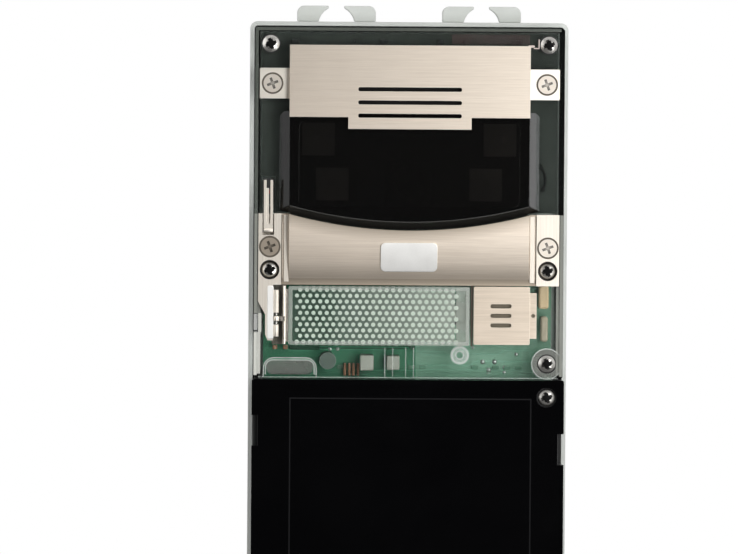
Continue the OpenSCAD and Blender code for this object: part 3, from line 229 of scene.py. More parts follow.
def hoops(bar: np.ndarray, centres: np.ndarray, radii: np.ndarray, sides: int) -> Surface:
    """Bend a bar into a hoop round each centre.

    A point is centre + ((R + u) cos a, (R + u) sin a, v), where (u, v) runs
    round the bar's outline and the angle a goes once round.

    Args:
        bar: Rows of u and v.
        centres: Rows of x, up and level.
        radii: Radius R of each hoop.
        sides: Count of points round the axis.

    Returns:
        All the hoops as one surface.
    """
    angle = turns(sides)[None, :, None]
    reach = radii[:, None, None] + bar[None, None, :, 0]
    rise = bar[None, None, :, 1] + 0.0 * reach * angle
    shape = np.stack((reach * np.cos(angle), reach * np.sin(angle), rise), axis=-1)
    points = centres[:, None, None, :] + shape
    faces = copy_faces(grid_faces(sides, len(bar), True, True), len(centres), sides * len(bar))
    return Surface(points.reshape(-1, 3), faces)


def draw_in(outline: np.ndarray, inset: float) -> np.ndarray:
    """Draw an outline in towards its middle, so that each side moves by the inset."""
    low, high = outline.min(0), outline.max(0)
    middle, half = (high + low) / 2.0, (high - low) / 2.0
    return middle + (outline - middle) * (1.0 - inset / half)


def set_out(*layers: tuple[np.ndarray, float]) -> np.ndarray:
    """Set outlines at their levels, one after the other."""
    return np.concatenate([np.column_stack((line, np.full(len(line), level))) for line, level in layers])


def slab(outline: np.ndarray, low: float, high: float, ease: float) -> Surface:
    """Raise an outline to a plate whose front edge is eased.

    The outline stands at the low level and just under the high one; at the high
    level it is drawn in towards its middle by the ease.

    Args:
        outline: Rows of x and up.
        low: Level of the back.
        high: Level of the front.
        ease: How far the front edge is drawn in.

    Returns:
        The closed plate.
    """
    points = set_out((outline, low), (outline, high - ease), (draw_in(outline, ease), high))
    ends = np.arange(len(outline))[None, :] + np.array(((0,), (2 * len(outline),)))
    return Surface(points, grid_faces(3, len(outline), False, True).tolist() + ends.tolist())


def join(surfaces: list[Surface]) -> Surface:
    """Put several surfaces together as one."""
    starts = np.cumsum([0] + [len(s.points) for s in surfaces[:-1]]).tolist()
    faces = [[corner + start for corner in face] for s, start in zip(surfaces, starts) for face in s.faces]
    return Surface(np.concatenate([s.points for s in surfaces]), faces)


def rim(outline: np.ndarray, inset: float, low: float, high: float) -> Surface:
    """Raise a flat rim that follows an outline on its inside.

    Its section is a rectangle: the outline and the outline drawn in towards its
    middle by the inset, each at the low and at the high level.

    Args:
        outline: Rows of x and up.
        inset: Width of the rim.
        low: Level of its back.
        high: Level of its front.

    Returns:
        The closed rim.
    """
    drawn = draw_in(outline, inset)
    points = set_out((outline, low), (outline, high), (drawn, high), (drawn, low))
    return Surface(points, grid_faces(4, len(outline), True, True).tolist())


def strips(plan: np.ndarray, profile: np.ndarray) -> Surface:
    """Carry a profile along straight lines.

    Each line goes evenly from its first point to its second on one level.

    Args:
        plan: Rows of x and up of the first point, x and up of the second, and the level.
        profile: Rows of u and v.

    Returns:
        All the strips as one surface.
    """
    share = np.linspace(0.0, 1.0, STRIP_STEPS)[None, :]
    x0, up0, x1, up1, level = plan.T[:, :, None] + 0.0 * share[None]
    return sweep(np.stack((x0 + (x1 - x0) * share, up0 + (up1 - up0) * share, level), axis=-1), profile)


def arch_line(x0: float, x1: float, base: float, top: float, corner: float) -> np.ndarray:
    """Give a line up one side, over the top and down the other side.

    Each upper corner is a quarter circle of the corner's radius about its centre.

    Args:
        x0: Left side.
        x1: Right side.
        base: Height of both ends.
        top: Height of the top.
        corner: Radius of the corners.

    Returns:
        Rows of x and up.
    """
    turn = np.linspace(0.0, math.pi / 2.0, ARCH_STEPS)
    left = np.stack((x0 + corner - corner * np.cos(turn), top - corner + corner * np.sin(turn)), axis=-1)
    right = np.stack((x1 - corner + corner * np.sin(turn), top - corner + corner * np.cos(turn)), axis=-1)
    return np.concatenate((((x0, base),), left, right, ((x1, base),)))


def sweep(paths: np.ndarray, profile: np.ndarray) -> Surface:
    """Carry a closed profile along each path.

    A point is path + u * side + v * rise, where (u, v) runs round the profile,
    side lies square to the path along the wall and rise is square to both.

    Args:
        paths: For each path, rows of x, up and level.
        profile: Rows of u and v.

    Returns:
        All the swept paths as one surface, with flat ends.
    """
    ahead = np.gradient(paths, axis=1)
    ahead /= np.linalg.norm(ahead, axis=-1, keepdims=True)
    side = np.cross(np.array((0.0, 0.0, 1.0)), ahead)
    side /= np.linalg.norm(side, axis=-1, keepdims=True)
    rise = np.cross(ahead, side)
    points = (
        paths[:, :, None, :]
        + profile[None, None, :, 0:1] * side[:, :, None, :]
        + profile[None, None, :, 1:2] * rise[:, :, None, :]
    )
    steps, count = paths.shape[1], len(profile)
    faces = copy_faces(grid_faces(steps, count, False, True), len(paths), steps * count)
    ends = np.stack((np.arange(count), np.arange(count) + (steps - 1) * count))
    faces += copy_faces(ends, len(paths), steps * count)
    return Surface(points.reshape(-1, 3), faces)


def soft_bar(half_w: float, half_h: float, corner: float, steps: int = 4) -> np.ndarray:
    """Give the outline of a bar with rounded corners.

    Each corner is a quarter circle of the corner's radius about its centre.

    Args:
        half_w: Half of its width.
        half_h: Half of its height.
        corner: Radius of its corners.
        steps: Points on each corner.

    Returns:
        Rows of u and v, once round.
    """
    turn = np.linspace(0.0, math.pi / 2.0, steps)[None, :] + (np.arange(4) * math.pi / 2.0)[:, None]
    signs = np.array(((1, 1), (-1, 1), (-1, -1), (1, -1)))
    middle = signs * np.array((half_w - corner, half_h - corner))
    outline = middle[:, None, :] + corner * np.stack((np.cos(turn), np.sin(turn)), axis=-1)
    return outline.reshape(-1, 2)


# Length of one wave of Blender's wave pattern at scale 1
WAVE_LENGTH = 0.314


class Graph:
    """A node tree with short calls that place nodes and join them."""

    def __init__(self, tree: bpy.types.NodeTree) -> None:
        """Work on one node tree."""
        self.tree = tree

    def feed(self, socket: Socket, value: Any) -> None:
        """Join an output to a socket, or set the socket to a plain value."""
        if isinstance(value, bpy.types.NodeSocket):
            self.tree.links.new(value, socket)
        else:
            socket.default_value = value

    def add(self, kind: str, inputs: dict[Any, Any] | None = None, **settings: Any) -> bpy.types.Node:
        """Place a node.

        Args:
            kind: Blender's name of the node.
            inputs: Values or outputs for its inputs, by name or number.
            **settings: Its own settings.

        Returns:
            The new node.
        """
        node = self.tree.nodes.new(kind)
        for name, value in settings.items():
            setattr(node, name, value)
        for name, value in (inputs or {}).items():
            self.feed(node.inputs[name], value)
        return node

    def calc(self, operation: str, first: Any, second: Any = 0.0, clamp: bool = False) -> Socket:
        """Place a Math node and give its output."""
        node = self.add("ShaderNodeMath", {0: first, 1: second}, operation=operation, use_clamp=clamp)
        return node.outputs[0]

    def times(self, first: Any, second: Any, clamp: bool = False) -> Socket:
        """Multiply two values."""
        return self.calc("MULTIPLY", first, second, clamp)

    def weigh(self, first: Socket, second: Socket, share: float) -> Socket:
        """Add two values, the first by its share and the second by the rest."""
        return self.calc("ADD", self.times(first, share), self.times(second, 1.0 - share))

    def reach(self, first: Socket, second: Socket) -> Socket:
        """Give the length of a vector of two parts."""
        flat = self.add("ShaderNodeCombineXYZ", {0: first, 1: second}).outputs[0]
        return self.add("ShaderNodeVectorMath", {0: flat}, operation="LENGTH").outputs["Value"]

    def threads(self, place: Socket, pitch_mm: float) -> list[Socket]:
        """Place two sets of waves that cross, one across and one up."""
        inputs = {"Vector": place, "Scale": WAVE_LENGTH / (pitch_mm * MM)}
        return [self.add("ShaderNodeTexWave", inputs, bands_direction=way).outputs[1] for way in ("X", "Z")]

    def mix(self, amount: Any, first: Any, second: Any) -> Socket:
        """Mix two colours by an amount."""
        return self.add("ShaderNodeMix", {0: amount, 6: first, 7: second}, data_type="RGBA").outputs[2]

    def span(self, value: Any, low: float, high: float, start: float = 0.0, end: float = 1.0) -> Socket:
        """Spread a value that runs from start to end over low to high, held at both ends."""
        return self.add("ShaderNodeMapRange", {0: value, 1: start, 2: end, 3: low, 4: high}).outputs[0]

    def noise(self, place: Any, scale: Any, detail: float = 2.0) -> Socket:
        """Place a noise and give its value."""
        return self.add("ShaderNodeTexNoise", {"Vector": place, "Scale": scale, "Detail": detail}).outputs[0]

    def turned(self, place: Socket, turn: Three) -> Socket:
        """Turn the coordinates of a pattern."""
        return self.add("ShaderNodeMapping", {"Vector": place, "Rotation": turn}).outputs[0]

    def axes(self, place: Socket) -> tuple[Socket, Socket, Socket]:
        """Split coordinates into their three parts."""
        parts = self.add("ShaderNodeSeparateXYZ", {0: place}).outputs
        return parts[0], parts[1], parts[2]

    def bump(self, height: Socket, strength: float, depth_mm: float) -> Socket:
        """Turn a height into a normal."""
        inputs = {"Strength": strength, "Distance": depth_mm * MM, "Height": height}
        return self.add("ShaderNodeBump", inputs).outputs[0]


def fresh_graph(owner: bpy.types.Material | bpy.types.World) -> Graph:
    """Open the node tree of a new material or world, with nothing in it."""
    owner.use_nodes = True
    owner.node_tree.nodes.clear()
    return Graph(owner.node_tree)


class Effect(Enum):
    """Shared surface effects, by the name of their node group."""

    GRAIN = "brushed_grain"
    SKIN = "moulded_skin"
    WEAR = "edge_wear"
    DUST = "settled_dust"
    HAZE = "handling_haze"
    # Mask of recesses from ambient occlusion, where shade is painted into the colour
    RECESS_SHADE = "recess_shade_mask"


FLOAT = "NodeSocketFloat"
VECTOR = "NodeSocketVector"


def open_group(
    effect: Effect, inputs: dict[str, str], outputs: tuple[str, ...]
) -> tuple[Graph, dict[str, Socket], bpy.types.Node]:
    """Start a node group.

    Args:
        effect: The effect it gives.
        inputs: Type of each input.
        outputs: Names of its outputs, which are plain values.

    Returns:
        Its graph, its inputs by name and the node that takes its outputs.
    """
    tree = bpy.data.node_groups.new(effect.value, "ShaderNodeTree")
    for label, kind in inputs.items():
        tree.interface.new_socket(label, in_out="INPUT", socket_type=kind)
    for label in outputs:
        tree.interface.new_socket(label, in_out="OUTPUT", socket_type=FLOAT)
    graph = Graph(tree)
    taken = graph.add("NodeGroupInput").outputs
    return graph, {label: taken[label] for label in inputs}, graph.add("NodeGroupOutput")


def per_size(graph: Graph, size: Socket) -> Socket:
    """Turn a size in millimetres into a scale per metre."""
    return graph.calc("DIVIDE", 1.0 / MM, size)


# Shares of two noises, their scales, and the windows that masks are stretched from
COARSE_GRAIN = 0.22
FINE_SHARE = 0.6
CLOUD_SCALE = 0.03
CLOUD_SHARE = 0.75
BREAK_SCALE = 420.0
SPECK_SCALE = 2600.0
VEIL_SCALE = 90.0
GRAIN_WINDOW = (0.34, 0.66)
SKIN_WINDOW = (0.32, 0.68)
EDGE_WINDOW = (0.86, 0.995)
BREAK_WINDOW = (0.36, 0.6)
UPWARD_WINDOW = (0.2, 0.95)
SPECK_WINDOW = (0.6, 0.72)
VEIL_WINDOW = (0.4, 0.75)
PATCH_WINDOW = (0.38, 0.68)
RECESS_WINDOW = (0.6, 0.95)


def grain_group() -> bpy.types.NodeTree:
    """Long thin lines along the first axis, in a fine and a coarse layer."""
    inputs = {"Vector": VECTOR, "Length": FLOAT, "Width": FLOAT}
    graph, given, out = open_group(Effect.GRAIN, inputs, ("Tone", "Height"))
    along, across = per_size(graph, given["Length"]), per_size(graph, given["Width"])
    stretch = graph.add("ShaderNodeCombineXYZ", {0: along, 1: across, 2: across}).outputs[0]
    pair = {0: given["Vector"], 1: stretch}
    lines = graph.add("ShaderNodeVectorMath", pair, operation="MULTIPLY").outputs[0]
    both = graph.weigh(graph.noise(lines, 1.0, 3.0), graph.noise(lines, COARSE_GRAIN, 2.0), FINE_SHARE)
    graph.feed(out.inputs["Tone"], graph.span(both, 0.0, 1.0, *GRAIN_WINDOW))
    graph.feed(out.inputs["Height"], both)
    return graph.tree


def skin_group() -> bpy.types.NodeTree:
    """Fine pebbles for the height, and broad clouds of the same noise for the tone."""
    graph, given, out = open_group(Effect.SKIN, {"Vector": VECTOR, "Size": FLOAT}, ("Tone", "Height"))
    scale = per_size(graph, given["Size"])
    pebbles = graph.noise(given["Vector"], scale, 3.0)
    clouds = graph.noise(given["Vector"], graph.times(scale, CLOUD_SCALE), 4.0)
    both = graph.weigh(clouds, pebbles, CLOUD_SHARE)
    graph.feed(out.inputs["Tone"], graph.span(both, 0.0, 1.0, *SKIN_WINDOW))
    graph.feed(out.inputs["Height"], pebbles)
    return graph.tree


def wear_group() -> bpy.types.NodeTree:
    """Edges, where the rounded normal leaves the face's own, broken up by a noise."""
    graph, given, out = open_group(Effect.WEAR, {"Vector": VECTOR, "Radius": FLOAT}, ("Mask",))
    radius = graph.times(given["Radius"], MM)
    rounded = graph.add("ShaderNodeBevel", {"Radius": radius}, samples=6).outputs[0]
    flat = graph.add("ShaderNodeNewGeometry").outputs["Normal"]
    pair = {0: rounded, 1: flat}
    likeness = graph.add("ShaderNodeVectorMath", pair, operation="DOT_PRODUCT").outputs["Value"]
    edge = graph.span(likeness, 1.0, 0.0, *EDGE_WINDOW)
    broken = graph.span(graph.noise(given["Vector"], BREAK_SCALE, 3.0), 0.35, 1.0, *BREAK_WINDOW)
    graph.feed(out.inputs["Mask"], graph.times(edge, broken, clamp=True))
    return graph.tree


def dust_group() -> bpy.types.NodeTree:
    """Specks and a veil on faces that look upwards, and a trace everywhere else."""
    graph, given, out = open_group(Effect.DUST, {"Vector": VECTOR, "Amount": FLOAT}, ("Mask",))
    normal = graph.add("ShaderNodeNewGeometry").outputs["Normal"]
    upward = graph.span(graph.axes(normal)[2], 0.12, 1.0, *UPWARD_WINDOW)
    specks = graph.span(graph.noise(given["Vector"], SPECK_SCALE, 2.0), 0.0, 1.0, *SPECK_WINDOW)
    veil = graph.span(graph.noise(given["Vector"], VEIL_SCALE, 4.0), 0.0, 0.7, *VEIL_WINDOW)
    cover = graph.times(graph.calc("MAXIMUM", specks, veil), upward)
    graph.feed(out.inputs["Mask"], graph.times(cover, given["Amount"], clamp=True))
    return graph.tree


def haze_group() -> bpy.types.NodeTree:
    """Soft patches where hands and cloths have passed, from one broad warped noise."""
    graph, given, out = open_group(Effect.HAZE, {"Vector": VECTOR, "Size": FLOAT}, ("Mask",))
    inputs = {"Vector": given["Vector"], "Detail": 4.0, "Distortion": 0.8}
    inputs["Scale"] = per_size(graph, given["Size"])
    patches = graph.add("ShaderNodeTexNoise", inputs).outputs[0]
    graph.feed(out.inputs["Mask"], graph.span(patches, 0.0, 1.0, *PATCH_WINDOW))
    return graph.tree


def recess_shade_group() -> bpy.types.NodeTree:
    """Recesses, where little of the open space can be seen within a reach: the mask for shade painted into
    recesses.
    """
    graph, given, out = open_group(Effect.RECESS_SHADE, {"Reach": FLOAT}, ("Mask",))
    reach = graph.times(given["Reach"], MM)
    clear = graph.add("ShaderNodeAmbientOcclusion", {"Distance": reach}, samples=8).outputs["AO"]
    graph.feed(out.inputs["Mask"], graph.span(clear, 1.0, 0.0, *RECESS_WINDOW))
    return graph.tree


EFFECT_BUILDERS: dict[Effect, Callable[[], bpy.types.NodeTree]] = {
    Effect.GRAIN: grain_group,
    Effect.SKIN: skin_group,
    Effect.WEAR: wear_group,
    Effect.DUST: dust_group,
    Effect.HAZE: haze_group,
    Effect.RECESS_SHADE: recess_shade_group,
}


class Effects:
    """The shared node groups, each built the first time a finish needs it."""

    def __init__(self) -> None:
        """Start with no group built."""
        self.built: dict[Effect, bpy.types.NodeTree] = {}

    def place(self, graph: Graph, effect: Effect, **inputs: Any) -> Any:
        """Place an effect in a material.

        Args:
            graph: The material's graph.
            effect: The effect.
            **inputs: What its inputs take.

        Returns:
            Its outputs, by name.
        """
        if effect not in self.built:
            self.built[effect] = EFFECT_BUILDERS[effect]()
        return graph.add("ShaderNodeGroup", inputs, node_tree=self.built[effect]).outputs


DUST_TONE = paint(176, 172, 164)
# Dark tone of the shade painted into recesses
RECESS_SHADE_TONE = paint(22, 20, 18)
# Tone of the shade painted on the band under the arch and at its foot
BAND_SHADE_TONE = paint(150, 139, 124)
# Darker tone laid on the left-hand side (x below 0) of some screws
LEFT_DARK_TONE = paint(148, 136, 120)


@dataclass(frozen=True)
class Finish(ABC):
    """A surface's name, its two tones and its least and greatest roughness."""

    name: str
    tone: Colour
    shade: Colour
    rough: Pair

    def make(self, effects: Effects) -> bpy.types.Material:
        """Build the material.

        Args:
            effects: The shared node groups.

        Returns:
            The new material.
        """
        material = bpy.data.materials.new(self.name)
        graph = fresh_graph(material)
        shader = graph.add("ShaderNodeBsdfPrincipled")
        graph.add("ShaderNodeOutputMaterial", {"Surface": shader.outputs[0]})
        place = graph.add("ShaderNodeTexCoord").outputs["Object"]
        self.lay(graph, effects, shader.inputs, place)
        return material

    @abstractmethod
    def lay(self, graph: Graph, effects: Effects, surface: Any, place: Socket) -> None:
        """Feed the shader.

        Args:
            graph: The material's graph.
            effects: The shared node groups.
            surface: The shader's inputs.
            place: Object coordinates.
        """


@dataclass(frozen=True)
class Moulded(Finish):
    """Moulded plastic, rubber or resin: pebbled skin, worn edges and a little dust."""

    pebble: float = 0.3
    relief: float = 0.25
    dust: float = 0.3
    wear: float = 0.15
    gloss: float = 0.5
    edge: float = 0.35
    depth: float = 0.05
    bleach: float = 0.4

    def lay(self, graph: Graph, effects: Effects, surface: Any, place: Socket) -> None:
        """Mix the tones by the skin, then lay worn edges and dust over them."""
        skin = effects.place(graph, Effect.SKIN, Vector=place, Size=self.pebble)
        dust = effects.place(graph, Effect.DUST, Vector=place, Amount=self.dust)
        worn = effects.place(graph, Effect.WEAR, Vector=place, Radius=self.edge)
        colour = graph.mix(skin["Tone"], self.tone, self.shade)
        colour = graph.mix(graph.times(worn["Mask"], self.wear), colour, paler(self.tone, self.bleach))
        graph.feed(surface["Base Color"], graph.mix(dust["Mask"], colour, DUST_TONE))
        graph.feed(surface["Roughness"], graph.span(skin["Tone"], *self.rough))
        graph.feed(surface["Normal"], graph.bump(skin["Height"], self.relief, self.depth))
        surface["Specular IOR Level"].default_value = self.gloss


@dataclass(frozen=True)
class Sheltered(Moulded):
    """A small moulding that neither hands nor dust reach."""

    relief: float = 0.2
    dust: float = 0.0
    wear: float = 0.0


class Brush(Enum):
    """The way in which the lines of a brushed surface run."""

    ACROSS = (0.0, 0.0, 0.0)
    UP = (0.0, math.pi / 2.0, 0.0)


@dataclass(frozen=True)
class Brushed(Finish):
    """Brushed sheet metal: long lines, bare bright edges and faint handling marks."""

    brush: Brush = Brush.ACROSS
    line: float = 0.13
    relief: float = 0.1
    bare: Colour = paint(240, 234, 223)
    length: float = 9.0
    patch: float = 14.0
    patch_tone: float = 0.12
    patch_rough: float = 0.03
    edge: float = 0.3
    edge_tone: float = 0.7
    depth: float = 0.02

    def season(self, graph: Graph, place: Socket, colour: Socket) -> Socket:
        """Change the colour from place to place, which plain sheet has no need of."""
        return colour

    def lay(self, graph: Graph, effects: Effects, surface: Any, place: Socket) -> None:
        """Let the lines drive tone, roughness and relief, and brighten the edges."""
        along = graph.turned(place, self.brush.value)
        grain = effects.place(graph, Effect.GRAIN, Vector=along, Length=self.length, Width=self.line)
        haze = effects.place(graph, Effect.HAZE, Vector=place, Size=self.patch)
        worn = effects.place(graph, Effect.WEAR, Vector=place, Radius=self.edge)
        colour = graph.mix(grain["Tone"], self.tone, self.shade)
        colour = graph.mix(graph.times(haze["Mask"], self.patch_tone), colour, self.shade)
        colour = graph.mix(graph.times(worn["Mask"], self.edge_tone), colour, self.bare)
        rough = graph.span(grain["Tone"], *self.rough)
        dulled = graph.times(haze["Mask"], self.patch_rough)
        graph.feed(surface["Base Color"], self.season(graph, place, colour))
        graph.feed(surface["Roughness"], graph.calc("ADD", rough, dulled))
        graph.feed(surface["Normal"], graph.bump(grain["Height"], self.relief, self.depth))
        surface["Metallic"].default_value = 1.0


@dataclass(frozen=True)
class Tabbed(Brushed):
    """Brushed sheet that is paler on a tab at each side."""

    tab_x: float = 37.0
    fade: float = 0.1

    def season(self, graph: Graph, place: Socket, colour: Socket) -> Socket:
        """Mix towards the paler tone from the tabs' roots outwards."""
        aside = graph.calc("ABSOLUTE", graph.axes(place)[0])
        tab = graph.span(aside, 0.0, 1.0, self.tab_x * MM, (self.tab_x + self.fade) * MM)
        return graph.mix(tab, colour, self.bare)


@dataclass(frozen=True)
class Bowed(Brushed):
    """Brushed sheet bowed outwards below an arch, with shade painted under the arch, down towards its foot
    and on its foot.
    """

    arch_up: float = 182.7
    arch_r: float = 142.2
    arch_fade: float = 4.2
    arch_dark: float = 0.85
    foot: float = 25.3
    droop: float = 5.0
    droop_dark: float = 0.5
    fold: Pair = (25.1, 25.8)
    fold_dark: float = 0.85

    def season(self, graph: Graph, place: Socket, colour: Socket) -> Socket:
        """Paint shade by the distance from the arch, down to the foot and on the foot."""
        across, _, upward = graph.axes(place)
        rise = graph.calc("SUBTRACT", upward, self.arch_up * MM)
        near, far = self.arch_r * MM, (self.arch_r + self.arch_fade) * MM
        under = graph.span(graph.reach(across, rise), self.arch_dark, 0.0, near, far)
        lower = graph.span(upward, self.droop_dark, 0.0, self.foot * MM, (self.foot + self.droop) * MM)
        turned = graph.span(upward, self.fold_dark, 0.0, self.fold[0] * MM, self.fold[1] * MM)
        painted_shade = graph.calc("MAXIMUM", under, graph.calc("MAXIMUM", lower, turned))
        return graph.mix(painted_shade, colour, BAND_SHADE_TONE)


@dataclass(frozen=True)
class Plated(Finish):
    """Plated or turned metal: a fine mottled skin with brighter edges, and painted shade in its recesses."""

    pebble: float = 0.2
    relief: float = 0.08
    # Share of the dark tone painted as shade into recesses
    recess_shade: float = 0.0
    reach: float = 1.2
    # Share of the darker tone laid where x is below 0
    left_dark: float = 0.0
    edge: float = 0.2
    depth: float = 0.02
    bleach: float = 0.5

    def lay(self, graph: Graph, effects: Effects, surface: Any, place: Socket) -> None:
        """Mix the tones by the skin, brighten the edges, darken the left side where asked and paint shade
        into the recesses.
        """
        skin = effects.place(graph, Effect.SKIN, Vector=place, Size=self.pebble)
        worn = effects.place(graph, Effect.WEAR, Vector=place, Radius=self.edge)
        colour = graph.mix(skin["Tone"], self.tone, self.shade)
        colour = graph.mix(worn["Mask"], colour, paler(self.tone, self.bleach))
        # Darken the part that lies left of the middle (x below 0)
        if self.left_dark:
            left = graph.span(graph.axes(place)[0], self.left_dark, 0.0, -MM, MM)
            colour = graph.mix(left, colour, LEFT_DARK_TONE)
        # Paint shade into recesses: darken where ambient occlusion finds them
        if self.recess_shade:
            recess = effects.place(graph, Effect.RECESS_SHADE, Reach=self.reach)
            colour = graph.mix(graph.times(recess["Mask"], self.recess_shade), colour, RECESS_SHADE_TONE)
        graph.feed(surface["Base Color"], colour)
        graph.feed(surface["Roughness"], graph.span(skin["Tone"], *self.rough))
        graph.feed(surface["Normal"], graph.bump(skin["Height"], self.relief, self.depth))
        surface["Metallic"].default_value = 1.0


@dataclass(frozen=True)
class Clear(Finish):
    """Clear or tinted moulding that lets light through, with flow marks and haze."""

    ior: float = 1.5
    flow: float = 0.02
    lets: float = 0.9
    clarity: float = 0.996
    patch: float = 22.0
    wave: float = 3.0
    depth: float = 0.4

    def lay(self, graph: Graph, effects: Effects, surface: Any, place: Socket) -> None:
        """Vary the tint, haze the polish, add slow flow waves and let the lamps shine through."""
        haze = effects.place(graph, Effect.HAZE, Vector=place, Size=self.patch)
        skin = effects.place(graph, Effect.SKIN, Vector=place, Size=self.wave)
        graph.feed(surface["Base Color"], graph.mix(haze["Mask"], self.tone, self.shade))
        graph.feed(surface["Roughness"], graph.span(haze["Mask"], *self.rough))
        graph.feed(surface["Normal"], graph.bump(skin["Height"], self.flow, self.depth))
        shadow = graph.add("ShaderNodeLightPath").outputs["Is Shadow Ray"]
        graph.feed(surface["Alpha"], graph.span(shadow, 1.0, 1.0 - self.lets))
        surface["Transmission Weight"].default_value = self.clarity
        surface["IOR"].default_value = self.ior


@dataclass(frozen=True)
class Film(Finish):
    """A thin sheet that shows what lies behind it, with haze in its surface."""

    cover: Pair = (0.1, 0.25)
    patch: float = 8.0
    pebble: float = 0.4
    relief: float = 0.1
    depth: float = 0.02

    def share(self, graph: Graph, place: Socket, haze: Socket) -> Socket:
        """Tell how far the second tone shows."""
        return haze

    def lay(self, graph: Graph, effects: Effects, surface: Any, place: Socket) -> None:
        """Let the haze drive tone, polish and how much of the sheet shows."""
        haze = effects.place(graph, Effect.HAZE, Vector=place, Size=self.patch)["Mask"]
        skin = effects.place(graph, Effect.SKIN, Vector=place, Size=self.pebble)
        graph.feed(surface["Base Color"], graph.mix(self.share(graph, place, haze), self.tone, self.shade))
        graph.feed(surface["Roughness"], graph.span(skin["Tone"], *self.rough))
        graph.feed(surface["Alpha"], graph.span(haze, *self.cover))
        graph.feed(surface["Normal"], graph.bump(skin["Height"], self.relief, self.depth))


@dataclass(frozen=True)
class Guide(Film):
    """A light guide whose tone runs from its left end to its right end."""

    start_x: float = -26.0
    end_x: float = 12.0
    uneven: float = 0.1

    def share(self, graph: Graph, place: Socket, haze: Socket) -> Socket:
        """Let the second tone grow along the guide, a little unevenly."""
        start, end = self.start_x * MM, self.end_x * MM
        along = graph.span(graph.axes(place)[0], 0.0, 1.0 - self.uneven, start, end)
        return graph.calc("ADD", along, graph.times(haze, self.uneven))


@dataclass(frozen=True)
class Woven(Finish):
    """Fine cloth: two crossing sets of threads."""

    pitch: float = 0.5
    fuzz: float = 0.2
    fuzz_tones: Pair = (0.7, 1.0)
    relief: float = 0.6
    depth: float = 0.1
    sheen: float = 0.2

    def lay(self, graph: Graph, effects: Effects, surface: Any, place: Socket) -> None:
        """Cross two sets of waves and let them drive tone and relief."""
        weave = graph.calc("MAXIMUM", *graph.threads(place, self.pitch))
        skin = effects.place(graph, Effect.SKIN, Vector=place, Size=self.fuzz)
        tone = graph.times(weave, graph.span(skin["Tone"], *self.fuzz_tones))
        graph.feed(surface["Base Color"], graph.mix(tone, self.shade, self.tone))
        graph.feed(surface["Roughness"], graph.span(skin["Tone"], *self.rough))
        graph.feed(surface["Normal"], graph.bump(weave, self.relief, self.depth))
        surface["Sheen Weight"].default_value = self.sheen


@dataclass(frozen=True)
class Laminate(Finish):
    """Circuit board: solder mask over glass cloth, with a copper plane on one side."""

    plane: Colour = paint(138, 182, 157)
    plane_x: float = 2.6
    plane_fade: float = 0.2
    plane_tones: Pair = (0.65, 1.0)
    strand: float = 0.8
    pebble: float = 0.6
    patch: float = 9.0
    relief: float = 0.05
    depth: float = 0.05

    def lay(self, graph: Graph, effects: Effects, surface: Any, place: Socket) -> None:
        """Shift the green where copper lies below, and let the cloth show as relief."""
        skin = effects.place(graph, Effect.SKIN, Vector=place, Size=self.pebble)
        haze = effects.place(graph, Effect.HAZE, Vector=place, Size=self.patch)
        start, end = self.plane_x * MM, (self.plane_x + self.plane_fade) * MM
        copper = graph.span(graph.axes(place)[0], 0.0, 1.0, start, end)
        colour = graph.mix(skin["Tone"], self.tone, self.shade)
        shown = graph.times(copper, graph.span(haze["Mask"], *self.plane_tones))
        colour = graph.mix(shown, colour, self.plane)
        cloth = graph.calc("ADD", *graph.threads(place, self.strand))
        graph.feed(surface["Base Color"], colour)
        graph.feed(surface["Roughness"], graph.span(skin["Tone"], *self.rough))
        graph.feed(surface["Normal"], graph.bump(cloth, self.relief, self.depth))


@dataclass(frozen=True)
class Screen(Finish):
    """Black glass with a barely lighter outline round the picture area behind it."""

    middle_x: float = 0.8
    half_w: float = 37.0
    top: float = -11.6
    bottom: float = -96.0
    line: float = 0.25
    line_core: float = 0.6
    outline: Colour = paint(30, 30, 31)
    patch: float = 30.0
    edge: float = 0.3
    edge_tone: float = 0.2
    gloss: float = 0.35

    def lay(self, graph: Graph, effects: Effects, surface: Any, place: Socket) -> None:
        """Find the outline as a thin band about a box, and smear the polish."""
        across, _, upward = graph.axes(place)
        middle, half_h = (self.top + self.bottom) / 2.0, (self.top - self.bottom) / 2.0
        aside = graph.calc("SUBTRACT", across, self.middle_x * MM)
        off_x = graph.calc("SUBTRACT", graph.calc("ABSOLUTE", aside), self.half_w * MM)
        lifted = graph.calc("SUBTRACT", upward, middle * MM)
        off_y = graph.calc("SUBTRACT", graph.calc("ABSOLUTE", lifted), half_h * MM)
        distance = graph.calc("ABSOLUTE", graph.calc("MAXIMUM", off_x, off_y))
        band = graph.span(distance, 1.0, 0.0, self.line * MM * self.line_core, self.line * MM)
        haze = effects.place(graph, Effect.HAZE, Vector=place, Size=self.patch)
        worn = effects.place(graph, Effect.WEAR, Vector=place, Radius=self.edge)
        colour = graph.mix(haze["Mask"], self.tone, self.shade)
        colour = graph.mix(band, colour, self.outline)
        colour = graph.mix(graph.times(worn["Mask"], self.edge_tone), colour, self.outline)
        graph.feed(surface["Base Color"], colour)
        graph.feed(surface["Roughness"], graph.span(haze["Mask"], *self.rough))
        surface["Specular IOR Level"].default_value = self.gloss


